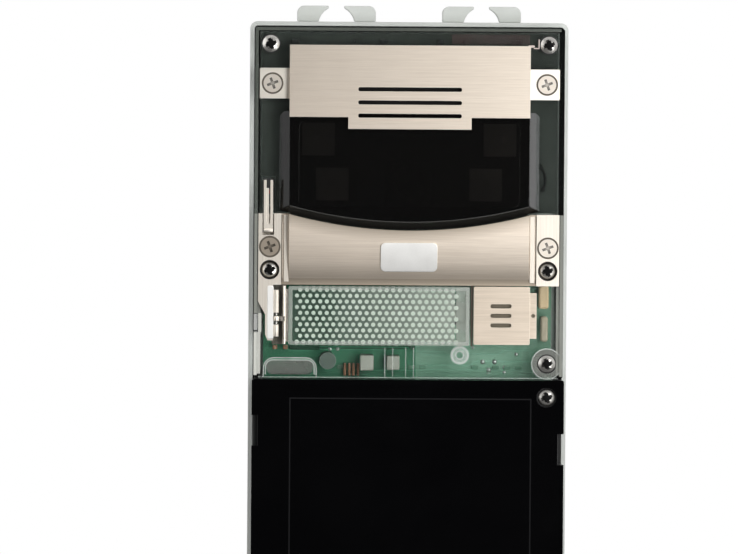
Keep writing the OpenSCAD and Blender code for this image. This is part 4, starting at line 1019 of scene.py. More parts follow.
TRAY_PLASTIC = Moulded("tray_plastic", paint(214, 217, 213), paint(205, 208, 203), (0.42, 0.56), dust=0.15)
BLACK_PLASTIC = Moulded(
    "black_plastic", paint(20, 21, 21), paint(28, 29, 29), (0.38, 0.52), dust=0.1, gloss=0.2
)
LINER_PLASTIC = Moulded(
    "liner_plastic", paint(40, 44, 40), paint(54, 58, 54), (0.55, 0.7), 0.5, 0.35, 0.1, 0.1, 0.12
)
SEAL_RUBBER = Moulded("seal_rubber", paint(16, 16, 16), paint(26, 26, 26), (0.6, 0.8), 0.2, 0.3, 0.1, 0.1)
CLEAR_PLASTIC = Clear("clear_plastic", paint(240, 246, 243), paint(232, 240, 236), (0.02, 0.09))
SMOKED_PLASTIC = Clear(
    "smoked_plastic", paint(84, 82, 80), paint(78, 77, 76), (0.03, 0.07), flow=0.01, lets=0.25, clarity=0.965
)
GUIDE_FILM = Guide("guide_film", paint(78, 104, 89), paint(208, 212, 203), (0.12, 0.3), (0.66, 0.76))
WALL_FROST = Film("wall_frost", paint(226, 226, 218), paint(210, 211, 203), (0.5, 0.7), (0.75, 0.9))
LIP_HAZE = Film("lip_haze", paint(158, 160, 152), paint(138, 140, 133), (0.4, 0.6), (0.6, 0.8))
LIP_SHADE = Film("lip_shade", paint(104, 110, 102), paint(92, 98, 91), (0.4, 0.6), (0.4, 0.55))
RUST_HAZE = Film("rust_haze", paint(92, 58, 56), paint(64, 50, 48), (0.5, 0.7), (0.0, 0.3))
CLIP_PALE = Sheltered("clip_pale", paint(226, 216, 209), paint(196, 178, 172), (0.4, 0.55))
POCKET_HAZE = Film("pocket_haze", paint(132, 134, 128), paint(118, 120, 114), (0.4, 0.6), (0.5, 0.65))
FAINT_FROST = Film("faint_frost", paint(236, 239, 235), paint(220, 226, 221), (0.3, 0.5), (0.12, 0.26))
RIM_FROST = Film("rim_frost", paint(208, 214, 205), paint(192, 199, 190), (0.3, 0.5), (0.2, 0.36))
# Painted shadow of the key on the board below it
SHADE_GREEN = Film("shade_green", paint(18, 96, 62), paint(14, 84, 54), (0.4, 0.55), (0.6, 0.8))
BEAD_FROST = Film("bead_frost", paint(236, 239, 235), paint(220, 226, 221), (0.3, 0.5), (0.3, 0.55))
END_FROST = Film("end_frost", paint(164, 168, 159), paint(178, 182, 173), (0.4, 0.6), (0.6, 0.75))
# Painted highlight along the window's arch edge
EDGE_LIGHT = Film("edge_light", paint(112, 112, 108), paint(94, 94, 91), (0.3, 0.45), (0.2, 0.38))
# Painted sheen on the window's dark bevel
BEVEL_SHEEN = Film("bevel_sheen", paint(64, 62, 58), paint(52, 50, 47), (0.35, 0.5), (0.3, 0.45))
DOT_WHITE = Sheltered("dot_white", paint(218, 225, 215), paint(205, 214, 202), (0.5, 0.65), 0.15)
# The cover's tabs are paler than its face
COVER_METAL = Tabbed("cover_metal", paint(222, 211, 197), paint(204, 192, 178), (0.37, 0.44))
MICROPHONE_METAL = Brushed("microphone_metal", paint(212, 199, 183), paint(196, 183, 167), (0.42, 0.5))
# The band has shade painted under the window's arch and at its foot
BAND_METAL = Bowed("band_metal", paint(234, 222, 207), paint(217, 204, 189), (0.4, 0.48), line=0.2)
PLATE_METAL = Brushed("plate_metal", paint(234, 227, 216), paint(217, 209, 197), (0.4, 0.48), Brush.UP)
BAR_METAL = Brushed("bar_metal", paint(230, 223, 211), paint(212, 204, 191), (0.2, 0.3), Brush.UP)
BADGE_METAL = Plated("badge_metal", paint(252, 251, 248), paint(240, 239, 236), (0.48, 0.58))
# Flush and pan-head screws get shade painted into their driver recesses
FLUSH_STEEL = Plated(
    "flush_steel", paint(226, 218, 207), paint(208, 199, 187), (0.4, 0.48), recess_shade=0.8, reach=2.0
)
# The band screws are darker on the left-hand side
LEFT_DARK_STEEL = replace(FLUSH_STEEL, name="left_dark_steel", left_dark=0.8)
SCREW_STEEL = Plated("screw_steel", paint(212, 210, 205), paint(192, 189, 183), (0.18, 0.32), recess_shade=0.95)
# Painted shade in the flush screws' seats and along the end plates' inner edges
SEAT_SHADE = Sheltered("seat_shade", paint(98, 89, 76), paint(80, 72, 61), (0.6, 0.8), 0.2, 0.3)
MICROPHONE_FELT = Woven("microphone_felt", paint(140, 132, 115), paint(102, 95, 83), (0.8, 0.95), 0.3)
# Brown of the hinge backing, also laid as painted shade in the gap left of the microphone plate
BACKING_AND_SHADE_BROWN = Sheltered("backing_and_shade_brown", paint(104, 95, 83), paint(88, 80, 70), (0.5, 0.65))
NOTCH_WHITE = Sheltered("notch_white", paint(252, 252, 249), paint(244, 244, 241), (0.5, 0.65))
# Black of the speaker lead, also laid as painted shade round the screws' driver recesses
LEAD_AND_SHADE_BLACK = Sheltered("lead_and_shade_black", paint(8, 8, 8), paint(12, 12, 12), (0.5, 0.65), 0.2, gloss=0.1)
SPEAKER_CLOTH = Woven("speaker_cloth", paint(34, 33, 32), paint(10, 10, 10), (0.8, 0.95))
PAPER_CONE = Moulded("paper_cone", paint(58, 56, 53), paint(44, 43, 41), (0.75, 0.9), 0.4, 0.5)
MAGNET_IRON = Plated("magnet_iron", paint(98, 98, 102), paint(80, 80, 84), (0.4, 0.55), 0.5, 0.2)
BOARD_DARK = Laminate("board_dark", paint(12, 13, 12), paint(9, 10, 9), (0.5, 0.65), paint(12, 13, 12))
BOARD_GREEN = Laminate("board_green", paint(44, 138, 98), paint(35, 121, 84), (0.32, 0.48))
CHIP_BLACK = Moulded("chip_black", paint(40, 40, 41), paint(30, 30, 31), (0.5, 0.65), 0.15, 0.3)
CAN_ALUMINIUM = Plated("can_aluminium", paint(106, 116, 109), paint(92, 102, 96), (0.35, 0.5))
FILM_CREAM = Moulded("film_cream", paint(178, 176, 166), paint(162, 160, 151), (0.3, 0.42), 0.5)
CHIP_OLIVE = Moulded("chip_olive", paint(98, 150, 122), paint(84, 134, 106), (0.4, 0.55), 0.15, 0.3)
RESISTOR_CLAY = Moulded("resistor_clay", paint(222, 203, 180), paint(202, 183, 160), (0.4, 0.55), 0.15, 0.3)
LEG_COPPER = Moulded("leg_copper", paint(170, 118, 84), paint(148, 102, 74), (0.35, 0.5), 0.15, 0.3)
COIL_PEACH = Moulded("coil_peach", paint(250, 216, 176), paint(234, 198, 156), (0.4, 0.55), 0.5)
RELAY_BLUE = Moulded("relay_blue", paint(38, 84, 156), paint(30, 70, 134), (0.3, 0.42))
TERMINAL_GREEN = Moulded("terminal_green", paint(48, 140, 80), paint(38, 120, 66), (0.4, 0.52))
LAMP_WHITE = Moulded("lamp_white", paint(240, 240, 230), paint(228, 228, 214), (0.25, 0.4), 0.3)
LAMP_SMOKE = Moulded("lamp_smoke", paint(196, 192, 184), paint(180, 176, 168), (0.25, 0.4), 0.3)
LENS_GLASS = Clear("lens_glass", paint(70, 76, 104), paint(60, 66, 92), (0.01, 0.03), clarity=1.0)
RIBBON_AMBER = Moulded("ribbon_amber", paint(206, 150, 74), paint(190, 134, 60), (0.28, 0.42), 0.6)
PLUNGER_RED = Moulded("plunger_red", paint(168, 42, 34), paint(150, 34, 28), (0.3, 0.42))
SCREEN_GLASS = Screen("screen_glass", paint(4, 4, 5), paint(6, 6, 7), (0.02, 0.06))
SOLDER_TIN = Plated("solder_tin", paint(206, 208, 206), paint(184, 186, 184), (0.2, 0.38), 0.3)
TRACK_GREEN = Laminate(
    "track_green", paint(62, 156, 114), paint(52, 142, 102), (0.3, 0.45), paint(142, 190, 166)
)


CREASE = math.radians(35.0)
FLAT_TURN = math.radians(0.4)
SHARP_TURN = math.radians(40.0)
WELD_GAP = 1e-6
FACE_WEIGHT = 100


class Bench:
    """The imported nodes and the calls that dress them."""

    def __init__(self, frame: dict[str, Any]) -> None:
        """Take the loaded frame."""
        self.nodes: dict[str, bpy.types.Object] = frame["nodes"]
        self.effects = Effects()
        self.made: dict[str, bpy.types.Material] = {}
        self.shading = self.crease_group()

    @staticmethod
    def crease_group() -> bpy.types.NodeTree:
        """Build the geometry group that shades smooth up to a crease."""
        tree = bpy.data.node_groups.new("crease_shading", "GeometryNodeTree")
        for way in ("INPUT", "OUTPUT"):
            tree.interface.new_socket("Geometry", in_out=way, socket_type="NodeSocketGeometry")
        graph = Graph(tree)
        whole = {"Geometry": graph.add("NodeGroupInput").outputs[0], "Shade Smooth": True}
        smooth = graph.add("GeometryNodeSetShadeSmooth", whole, domain="FACE").outputs[0]
        bend = graph.add("GeometryNodeInputMeshEdgeAngle").outputs["Unsigned Angle"]
        sharp = graph.calc("GREATER_THAN", bend, CREASE)
        edges = {"Geometry": smooth, "Selection": sharp, "Shade Smooth": False}
        creased = graph.add("GeometryNodeSetShadeSmooth", edges, domain="EDGE").outputs[0]
        graph.add("NodeGroupOutput", {0: creased})
        return tree

    def material(self, finish: Finish) -> bpy.types.Material:
        """Give a finish's material, built the first time it is asked for."""
        if finish.name not in self.made:
            self.made[finish.name] = finish.make(self.effects)
        return self.made[finish.name]

    def shade(self, piece: bpy.types.Object) -> None:
        """Shade a piece smooth between its creases, with its broad faces flat."""
        piece.modifiers.new("crease_shading", "NODES").node_group = self.shading
        weigh = piece.modifiers.new("face_normals", "WEIGHTED_NORMAL")
        weigh.keep_sharp = True
        weigh.weight = FACE_WEIGHT

    def coat(self, finish: Finish, *names: str, edge: float = 0.0) -> None:
        """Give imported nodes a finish.

        Args:
            finish: The finish.
            *names: The nodes.
            edge: Radius in millimetres that their edges are eased by, or 0.
        """
        for name in names:
            node = self.nodes[name]
            node.data.materials.clear()
            node.data.materials.append(self.material(finish))
            node.modifiers.new("weld", "WELD").merge_threshold = WELD_GAP
            if edge:
                flat = node.modifiers.new("flat_faces", "DECIMATE")
                flat.decimate_type = "DISSOLVE"
                flat.angle_limit = FLAT_TURN
                ease = node.modifiers.new("eased_edges", "BEVEL")
                ease.width = edge * MM
                ease.segments = 2
                ease.limit_method = "ANGLE"
                ease.angle_limit = SHARP_TURN
            self.shade(node)
            LOG.info("node %s: %s", name, finish.name)

    def piece(self, name: str, surface: Surface, finish: Finish, slot: str, body: str = STATION) -> None:
        """Make a new piece, which sits at the origin.

        Args:
            name: Its name.
            surface: Its shape on the elevation.
            finish: Its finish.
            slot: The record's slot for its finish; not used.
            body: The body it rides on.
        """
        mesh = bpy.data.meshes.new(name)
        mesh.from_pydata(stand(surface.points).tolist(), [], surface.faces)
        work = bmesh.new()
        work.from_mesh(mesh)
        bmesh.ops.recalc_face_normals(work, faces=work.faces)
        work.to_mesh(mesh)
        work.free()
        mesh.materials.append(self.material(finish))
        made = bpy.data.objects.new(name, mesh)
        bpy.context.scene.collection.objects.link(made)
        self.shade(made)
        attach(made, body)
        LOG.info("piece %s: %d faces, %s", name, len(mesh.polygons), finish.name)


@dataclass(frozen=True)
class Plate:
    """A plate with rounded corners and an eased front edge.

    Its size is half its width, half its height and its corners' radius, at is
    its middle, and its levels are those of its back and its front.
    """

    size: Three
    at: Pair
    levels: Pair
    ease: float

    def outline(self) -> np.ndarray:
        """Give the outline about the plate's middle."""
        return soft_bar(*self.size) + np.array(self.at)

    def build(self) -> Surface:
        """Raise the plate from its back to its front."""
        return slab(self.outline(), *self.levels, self.ease)


def film(half_w: float) -> np.ndarray:
    """Give the outline of a strip that is as thin as a film."""
    return soft_bar(half_w, FILM_HALF_H, FILM_CORNER, 2)


def low_dome(radius: float, height: float, steps: int) -> np.ndarray:
    """Give the profile of a low dome with a small flat top.

    It is part of an ellipse: r = R cos t and h = H sin t, with t from 0 to
    almost a right angle.

    Args:
        radius: Radius R at its foot.
        height: Height H.
        steps: Points on the profile.

    Returns:
        Rows of radius and height.
    """
    turn = np.linspace(0.0, DOME_SHARE * math.pi / 2.0, steps)
    return np.stack((radius * np.cos(turn), height * np.sin(turn)), axis=-1)


class Unit(ABC):
    """A sub-assembly of the station."""

    @abstractmethod
    def dress(self, bench: Bench) -> None:
        """Coat the unit's nodes and add its small pieces.

        Args:
            bench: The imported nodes.
        """


@dataclass
class WallTray(Unit):
    """The pale tray on the wall, its hooks, the seal and the cable inlet."""

    edge: float = 0.35

    def dress(self, bench: Bench) -> None:
        """Give the tray and its rubber pieces their finishes."""
        bench.coat(TRAY_PLASTIC, "back_tray", "top_hooks", edge=self.edge)
        bench.coat(SEAL_RUBBER, "tray_seal", "cable_grommet")


@dataclass
class ClearHousing(Unit):
    """The clear upper housing, its dark liner and its ringed screws.

    A line is x and up of its first point, x and up of its second, and its level.
    """

    edge: float = 0.25
    liner_edge: float = 0.2
    screw_x: float = 42.7
    screw_rises: Three = (97.2, 27.8, -0.75)
    seat: float = 20.8
    sides: int = 40
    front: float = 22.0
    ring_r: float = 2.8
    ring_size: Three = (0.17, 0.5, 0.12)
    head_h: float = 1.8
    dome_r: float = 5.93
    recess_r: float = 1.2
    recess_lobe: float = 0.28
    recess_turn: float = 0.6
    recess_shares: Row = (0.05, 0.5, 1.0, 1.0, 0.05)
    recess_offsets: Row = (0.03, 0.03, 0.02, -0.1, -0.1)
    bead_size: Three = (0.17, 0.06, 0.05)
    grip_arches: tuple[Row, ...] = ((-44.4, -28.2, -5.2, 0.7, 3.2), (-43.8, -28.8, -4.4, 0.05, 2.3))
    boss: Pair = (15.9, 1.8)
    boss_radii: Row = (1.15, 2.35, 2.68)
    boss_film: Pair = (0.55, 1.8)
    screw_bead_r: float = 4.65
    screw_film: Pair = (0.8, 3.75)
    strip_half_w: float = 0.5
    frost_lines: tuple[Row, ...] = (
        (-46.97, -4.6, -46.97, 8.6, 23.02),
        (-45.92, -4.2, -45.92, 8.6, 22.02),
        (-45.62, 8.6, -45.62, 14.4, 22.02),
    )
    haze_lines: tuple[Row, ...] = (
        (-46.97, 14.4, -46.97, 45.0, 23.02),
        (-45.92, 14.4, -45.92, 23.0, 22.02),
        (46.97, -4.6, 46.97, 45.0, 23.02),
        (45.92, -4.2, 45.92, 23.0, 22.02),
    )
    shade_lines: tuple[Row, ...] = (
        (-46.97, 45.0, -46.97, 101.2, 23.02),
        (-47.4, 101.75, 46.4, 101.75, 23.02),
    )
    edge_lines: tuple[Row, ...] = (
        (-7.1, -5.0, -7.1, 4.0, 22.0),
        (-4.7, -5.0, -4.7, 4.0, 22.0),
        (-0.7, -5.0, -0.7, 4.0, 22.0),
        (1.7, -5.0, 1.7, 4.0, 22.0),
        (-46.0, -5.2, 46.0, -5.2, 22.0),
    )
    angle_lines: tuple[Row, ...] = ((39.6, 99.0, 39.6, 96.2, 22.0), (38.0, 96.2, 39.7, 96.2, 22.0))
    angle_tip: Plate = Plate((0.95, 0.35, 0.2), (37.3, 96.8), (22.0, 22.1), 0.05)
    clip_plan: tuple[Pair, ...] = (
        (-35.2, 1.2), (-16.9, 0.5), (-7.9, 1.2), (9.5, 1.0), (16.8, 0.5), (33.0, 1.4),
    )
    clip_up: float = 98.0
    clip_half_h: float = 0.7
    clip_corner: float = 0.3
    clip_levels: Pair = (17.0, 19.6)
    clip_ease: float = 0.25
    stain: Plate = Plate((12.0, 1.5, 0.4), (24.8, 98.9), (22.0, 22.03), 0.01)
    pocket: Plate = Plate((7.25, 2.05, 1.9), (-36.3, -2.3), (15.92, 15.97), 0.01)
    notch: Plate = Plate((0.6, 2.6, 0.2), (-46.84, 11.5), (15.11, 15.4), 0.05)

    def rings(self, seats: np.ndarray) -> Surface:
        """Bend one rubber ring round each screw head, standing on its seat."""
        bar = soft_bar(*self.ring_size, 3) + np.array((0.0, self.ring_size[1]))
        return hoops(bar, seats, np.full(len(seats), self.ring_r), self.sides)

    def recess_shades(self, seats: np.ndarray) -> Surface:
        """Lay a four-lobed film of painted shade on each screw head, round its driver recess.

        A point is head + (r cos a, r sin a, offset - r * r / (2 * dome)), where
        r = share * (mean + lobe * cos 4a), and share and offset run from the
        middle of the film's front to its rim and back to the middle of its back.

        Args:
            seats: Rows of x, up and level under the heads.

        Returns:
            All the films as one surface.
        """
        angle = turns(self.sides)[:, None]
        lobes = self.recess_r + self.recess_lobe * np.cos(4.0 * angle + self.recess_turn)
        reach = np.array(self.recess_shares)[None, :] * lobes
        height = np.array(self.recess_offsets)[None, :] - reach * reach / (2.0 * self.dome_r)
        shape = np.stack((reach * np.cos(angle), reach * np.sin(angle), height + self.head_h), axis=-1)
        return capped(seats[:, None, None, :] + shape[None])

    def bead(self) -> np.ndarray:
        """Give the outline of the low bead that marks the housing's edges."""
        return soft_bar(*self.bead_size, 3)

    def grip_beads(self) -> Surface:
        """Carry the bead round the grip pocket, once at its mouth and once at its wall."""
        lines = np.stack([arch_line(*arch) for arch in self.grip_arches])
        levels = np.full((*lines.shape[:2], 1), self.front)
        return sweep(np.concatenate((lines, levels), axis=-1), self.bead())

    def circles(self, bar: np.ndarray, at: Pair, *radii: float) -> Surface:
        """Bend a bar round a point of the front, once at each radius."""
        centres = np.tile((*at, self.front), (len(radii), 1))
        return hoops(bar, centres, np.array(radii), 2 * self.sides)

    def marks(self) -> list[tuple[str, Surface, Finish, str]]:
        """Give the beads, the frost and the haze on the clear plastic, and the clips behind it.

        Returns:
            The name, the shape, the finish and the slot of each.
        """
        clear = "clear_plastic"
        low_screw = (self.screw_x, self.screw_rises[2])
        boss_w, boss_r = self.boss_film
        screw_w, screw_r = self.screw_film
        flat = film(self.strip_half_w)
        return [
            ("wall_frost", strips(np.array(self.frost_lines), flat), WALL_FROST, clear),
            ("grip_beads", self.grip_beads(), BEAD_FROST, clear),
            ("boss_beads", self.circles(self.bead(), self.boss, *self.boss_radii), BEAD_FROST, clear),
            ("boss_frost", self.circles(film(boss_w), self.boss, boss_r), FAINT_FROST, clear),
            ("screw_boss_bead", self.circles(self.bead(), low_screw, self.screw_bead_r), BEAD_FROST, clear),
            ("screw_boss_haze", self.circles(film(screw_w), low_screw, screw_r), POCKET_HAZE, clear),
            ("lip_haze", strips(np.array(self.haze_lines), flat), LIP_HAZE, clear),
            ("edge_beads", strips(np.array(self.edge_lines), self.bead()), FAINT_FROST, clear),
            ("liner_clips", self.clips(), BLACK_PLASTIC, "black_plastic"),
            ("lip_shade", strips(np.array(self.shade_lines), flat), LIP_SHADE, clear),
            ("corner_clip", self.corner_clip(), CLIP_PALE, clear),
            ("liner_stain", self.stain.build(), RUST_HAZE, clear),
            ("grip_floor_haze", self.pocket.build(), POCKET_HAZE, clear),
        ]

    def corner_clip(self) -> Surface:
        """Lay the bright angle of a clip between the cover and the upper right screw."""
        return join([strips(np.array(self.angle_lines), self.bead()), self.angle_tip.build()])

    def clips(self) -> Surface:
        """Stand small clips on the liner above the cover, each a plate with an eased front."""
        sizes = [(half_w, self.clip_half_h, self.clip_corner) for _, half_w in self.clip_plan]
        places = [(x, self.clip_up) for x, _ in self.clip_plan]
        plates = [Plate(size, at, self.clip_levels, self.clip_ease) for size, at in zip(sizes, places)]
        return join([plate.build() for plate in plates])

    def dress(self, bench: Bench) -> None:
        """Coat the housing, lay a ring round each of its screws and mark the clear plastic."""
        bench.coat(CLEAR_PLASTIC, "front_housing", edge=self.edge)
        bench.coat(LINER_PLASTIC, "inner_carrier", edge=self.liner_edge)
        bench.coat(SCREW_STEEL, "housing_screws")
        top, middle, low = self.screw_rises
        pairs = [(side * self.screw_x, rise, self.seat) for rise in (top, middle) for side in (-1, 1)]
        seats = np.array([*pairs, (self.screw_x, low, self.seat)])
        bench.piece("screw_rings", self.rings(seats), SEAL_RUBBER, "seal_rubber")
        # Painted shade: a black film round each driver recess
        bench.piece("screw_recess_shade", self.recess_shades(seats), LEAD_AND_SHADE_BLACK, "screw_steel")
        for mark in self.marks():
            bench.piece(*mark)
        bench.piece("latch_pad", self.notch.build(), NOTCH_WHITE, "tray_plastic")


@dataclass
class SpeakerUnit(Unit):
    """The slotted cover and the loudspeaker behind it."""

    edge: float = 0.15

    def dress(self, bench: Bench) -> None:
        """Give the cover and the loudspeaker's pieces their finishes."""
        bench.coat(COVER_METAL, "speaker_cover", edge=self.edge)
        bench.coat(FLUSH_STEEL, "cover_screws")
        bench.coat(SCREW_STEEL, "speaker_basket", "speaker_yoke")
        bench.coat(SPEAKER_CLOTH, "speaker_cloth")
        bench.coat(LINER_PLASTIC, "speaker_gasket")
        bench.coat(SEAL_RUBBER, "speaker_surround")
        bench.coat(LEAD_AND_SHADE_BLACK, "speaker_lead")
        bench.coat(PAPER_CONE, "speaker_cone")
        bench.coat(MAGNET_IRON, "speaker_magnet")


@dataclass
class CameraUnit(Unit):
    """The smoked window, the camera and the infrared lamps behind it."""

    edge: float = 0.3
    half_w: float = 36.6
    arch_up: float = 182.7
    arch_r: float = 140.0
    arch_steps: int = 90
    face: float = 25.0
    edge_bar: Three = (0.13, 0.04, 0.03)
    bevel: tuple[Pair, ...] = ((-0.15, -0.17), (-2.2, -2.72), (-2.16, -2.68), (-0.11, -0.13))
    skirt: Plate = Plate((36.6, 6.2, 1.0), (0.0, 39.8), (19.3, 19.7), 0.1)

    def arch(self) -> np.ndarray:
        """Give the arch where the window's face ends.

        The path is part of a circle: x = R sin a and up = centre - R cos a.

        Returns:
            One path, with rows of x, up and level.
        """
        reach = math.asin(self.half_w / self.arch_r)
        turn = np.linspace(-reach, reach, self.arch_steps)
        x, up = self.arch_r * np.sin(turn), self.arch_up - self.arch_r * np.cos(turn)
        return np.stack((x, up, np.full_like(x, self.face)), axis=-1)[None]

    def dress(self, bench: Bench) -> None:
        """Coat the window and the camera, and lay a bar of painted highlight and a sloped film of painted
        sheen along the window's arch.
        """
        bench.coat(SMOKED_PLASTIC, "camera_window", edge=self.edge)
        # A thin bar of painted highlight along the arch
        line = sweep(self.arch(), soft_bar(*self.edge_bar, 2))
        bench.piece("window_edge_highlight", line, EDGE_LIGHT, "smoked_plastic")
        # A sloped film of painted sheen on the bevel under the arch
        slope = sweep(self.arch(), np.array(self.bevel))
        bench.piece("window_bevel_sheen", slope, BEVEL_SHEEN, "smoked_plastic")
        bench.piece("arch_skirt", self.skirt.build(), LINER_PLASTIC, "black_plastic")
        bench.coat(BOARD_DARK, "camera_board", "infrared_board")
        bench.coat(BLACK_PLASTIC, "camera_holder", "lens_barrel")
        bench.coat(LENS_GLASS, "camera_lens")
        bench.coat(LAMP_SMOKE, "infrared_lamps")


@dataclass
class FrontBand(Unit):
    """The curved band, its badge, its end plates and their screws."""

    edge: float = 0.12
    badge_edge: float = 0.25
    seat_r: float = 3.05
    seat_half_w: float = 0.28
    seat_sides: int = 56
    seat_spots: tuple[Three, ...] = (
        (-42.15, 85.05, 22.8), (42.15, 85.05, 22.8), (-42.7, 34.9, 23.6), (42.7, 34.9, 23.6),
    )
    # Painted contact shadow along each end plate's inner edge
    shade_half_w: float = 0.15
    gap_shade_lines: tuple[Row, ...] = (
        (-39.03, 23.9, -39.03, 44.7, 22.82),
        (39.03, 23.9, 39.03, 44.7, 22.82),
    )
    folds: tuple[Plate, ...] = (
        Plate((0.75, 10.2, 0.2), (-37.65, 34.3), (22.8, 23.4), 0.1),
        Plate((0.75, 10.2, 0.2), (37.9, 34.3), (22.8, 23.4), 0.1),
    )
    lip: Plate = Plate((0.95, 8.2, 0.5), (-42.4, 14.7), (23.6, 23.85), 0.2)

    def seats(self) -> Surface:
        """Bend a thin line of painted shade round each flush head, on its plate."""
        spots = np.array(self.seat_spots)
        return hoops(film(self.seat_half_w), spots, np.full(len(spots), self.seat_r), self.seat_sides)

    def dress(self, bench: Bench) -> None:
        """Give the band and its plates their finishes, and paint shade round the seats of the flush screws
        and along the plates' inner edges.
        """
        bench.coat(BAND_METAL, "front_band", edge=self.edge)
        bench.coat(PLATE_METAL, "retainer_plate", "hinge_bracket", edge=self.edge)
        bench.coat(BADGE_METAL, "badge", edge=self.badge_edge)
        bench.coat(LEFT_DARK_STEEL, "band_screws")
        bench.piece("flush_seat_shade", self.seats(), SEAT_SHADE, "screw_steel")
        bench.piece("band_folds", join([fold.build() for fold in self.folds]), PLATE_METAL, "brushed_metal")
        bench.piece("bracket_lip", self.lip.build(), BADGE_METAL, "brushed_metal")
        # Painted contact shadow between each end plate and the band
        gap_shades = strips(np.array(self.gap_shade_lines), film(self.shade_half_w))
        bench.piece("plate_gap_shade", gap_shades, SEAT_SHADE, "screw_steel")


@dataclass
class CallKey(Unit):
    """The clear rocking key, its dotted light guide, its hinge and its switch."""

    body: str = "call_button"
    edge: float = 0.25
    leaf_edge: float = 0.2
    first_x: float = -34.25
    last_x: float = 15.2
    middle: float = 13.7
    front: float = 22.2
    pitch: float = 2.04
    rows: int = 10
    dot_r: float = 0.64
    dot_h: float = 0.05
    dot_steps: int = 4
    dot_sides: int = 12
    growth: float = 0.12
    end: Plate = Plate((2.0, 8.9, 0.2), (16.65, 13.7), (22.05, 22.17), 0.02)
    rim_size: Three = (27.8, 9.0, 0.4)
    rim_at: Pair = (-9.0, 13.8)
    rim_w: float = 1.15
    rim_levels: Pair = (23.4, 23.43)
    backing: Plate = Plate((2.25, 9.2, 0.3), (-39.65, 14.0), (19.5, 19.9), 0.1)

    def dots(self) -> Surface:
        """Lay low domes in staggered rows on the front of the guide, growing a little from left to right."""
        columns = np.arange(int((self.last_x - self.first_x) / self.pitch) + 1)
        row = np.arange(self.rows)
        step = self.pitch * math.sqrt(3.0) / 2.0
        x = self.first_x + self.pitch * (columns[None, :] + 0.5 * (row[:, None] % 2))
        up = self.middle + step * (row[:, None] - (self.rows - 1) / 2.0) + 0.0 * x
        keep = x < self.last_x
        centres = np.stack((x[keep], up[keep], np.full(keep.sum(), self.front)), axis=-1)
        grown = 1.0 + self.growth * (centres[:, 0] - self.first_x) / (self.last_x - self.first_x)
        return lathe(low_dome(self.dot_r, self.dot_h, self.dot_steps), centres, grown, self.dot_sides)

    def dress(self, bench: Bench) -> None:
        """Coat the key's pieces, lay the dots on its guide and frost its end and its rim."""
        bench.coat(CLEAR_PLASTIC, "call_button", edge=self.edge)
        bench.coat(GUIDE_FILM, "diffuser_plate")
        bench.coat(BAR_METAL, "hinge_leaf", edge=self.leaf_edge)
        bench.coat(SCREW_STEEL, "hinge_pin")
        bench.coat(CHIP_BLACK, "call_switch")
        bench.coat(LAMP_WHITE, "call_plunger", "backlight_lamps")
        bench.piece("diffuser_dots", self.dots(), DOT_WHITE, "diffuser", self.body)
        bench.piece("key_end_frost", self.end.build(), END_FROST, "diffuser", self.body)
        frame = rim(soft_bar(*self.rim_size) + np.array(self.rim_at), self.rim_w, *self.rim_levels)
        bench.piece("key_rim", frame, RIM_FROST, "clear_plastic", self.body)
        bench.piece("hinge_backing", self.backing.build(), BACKING_AND_SHADE_BROWN, "tray_plastic")


@dataclass
class MicrophoneUnit(Unit):
    """The slotted plate over the microphone."""

    edge: float = 0.12
    felt: Plate = Plate((4.2, 4.4, 0.6), (28.4, 14.05), (22.02, 22.7), 0.15)
    spot: Plate = Plate((0.75, 0.75, 0.5), (38.2, 14.0), (22.02, 22.3), 0.1)
    # Painted shade in the gap left of the microphone plate
    gap_shade_line: Row = (19.5, 4.6, 19.5, 23.3, 22.02)
    shade_half_w: float = 0.33

    def dress(self, bench: Bench) -> None:
        """Coat the plate and the microphone, and lay felt behind the slots and a strip of painted shade in
        the gap at the left.
        """
        bench.coat(MICROPHONE_METAL, "microphone_cover", edge=self.edge)
        bench.coat(SEAL_RUBBER, "microphone_boot")
        bench.coat(CAN_ALUMINIUM, "microphone_capsule")
        pads = join([self.felt.build(), self.spot.build()])
        bench.piece("microphone_felt", pads, MICROPHONE_FELT, "speaker_fabric")
        gap_shade = strips(np.array((self.gap_shade_line,)), film(self.shade_half_w))
        bench.piece("microphone_gap_shade", gap_shade, BACKING_AND_SHADE_BROWN, "screw_steel")


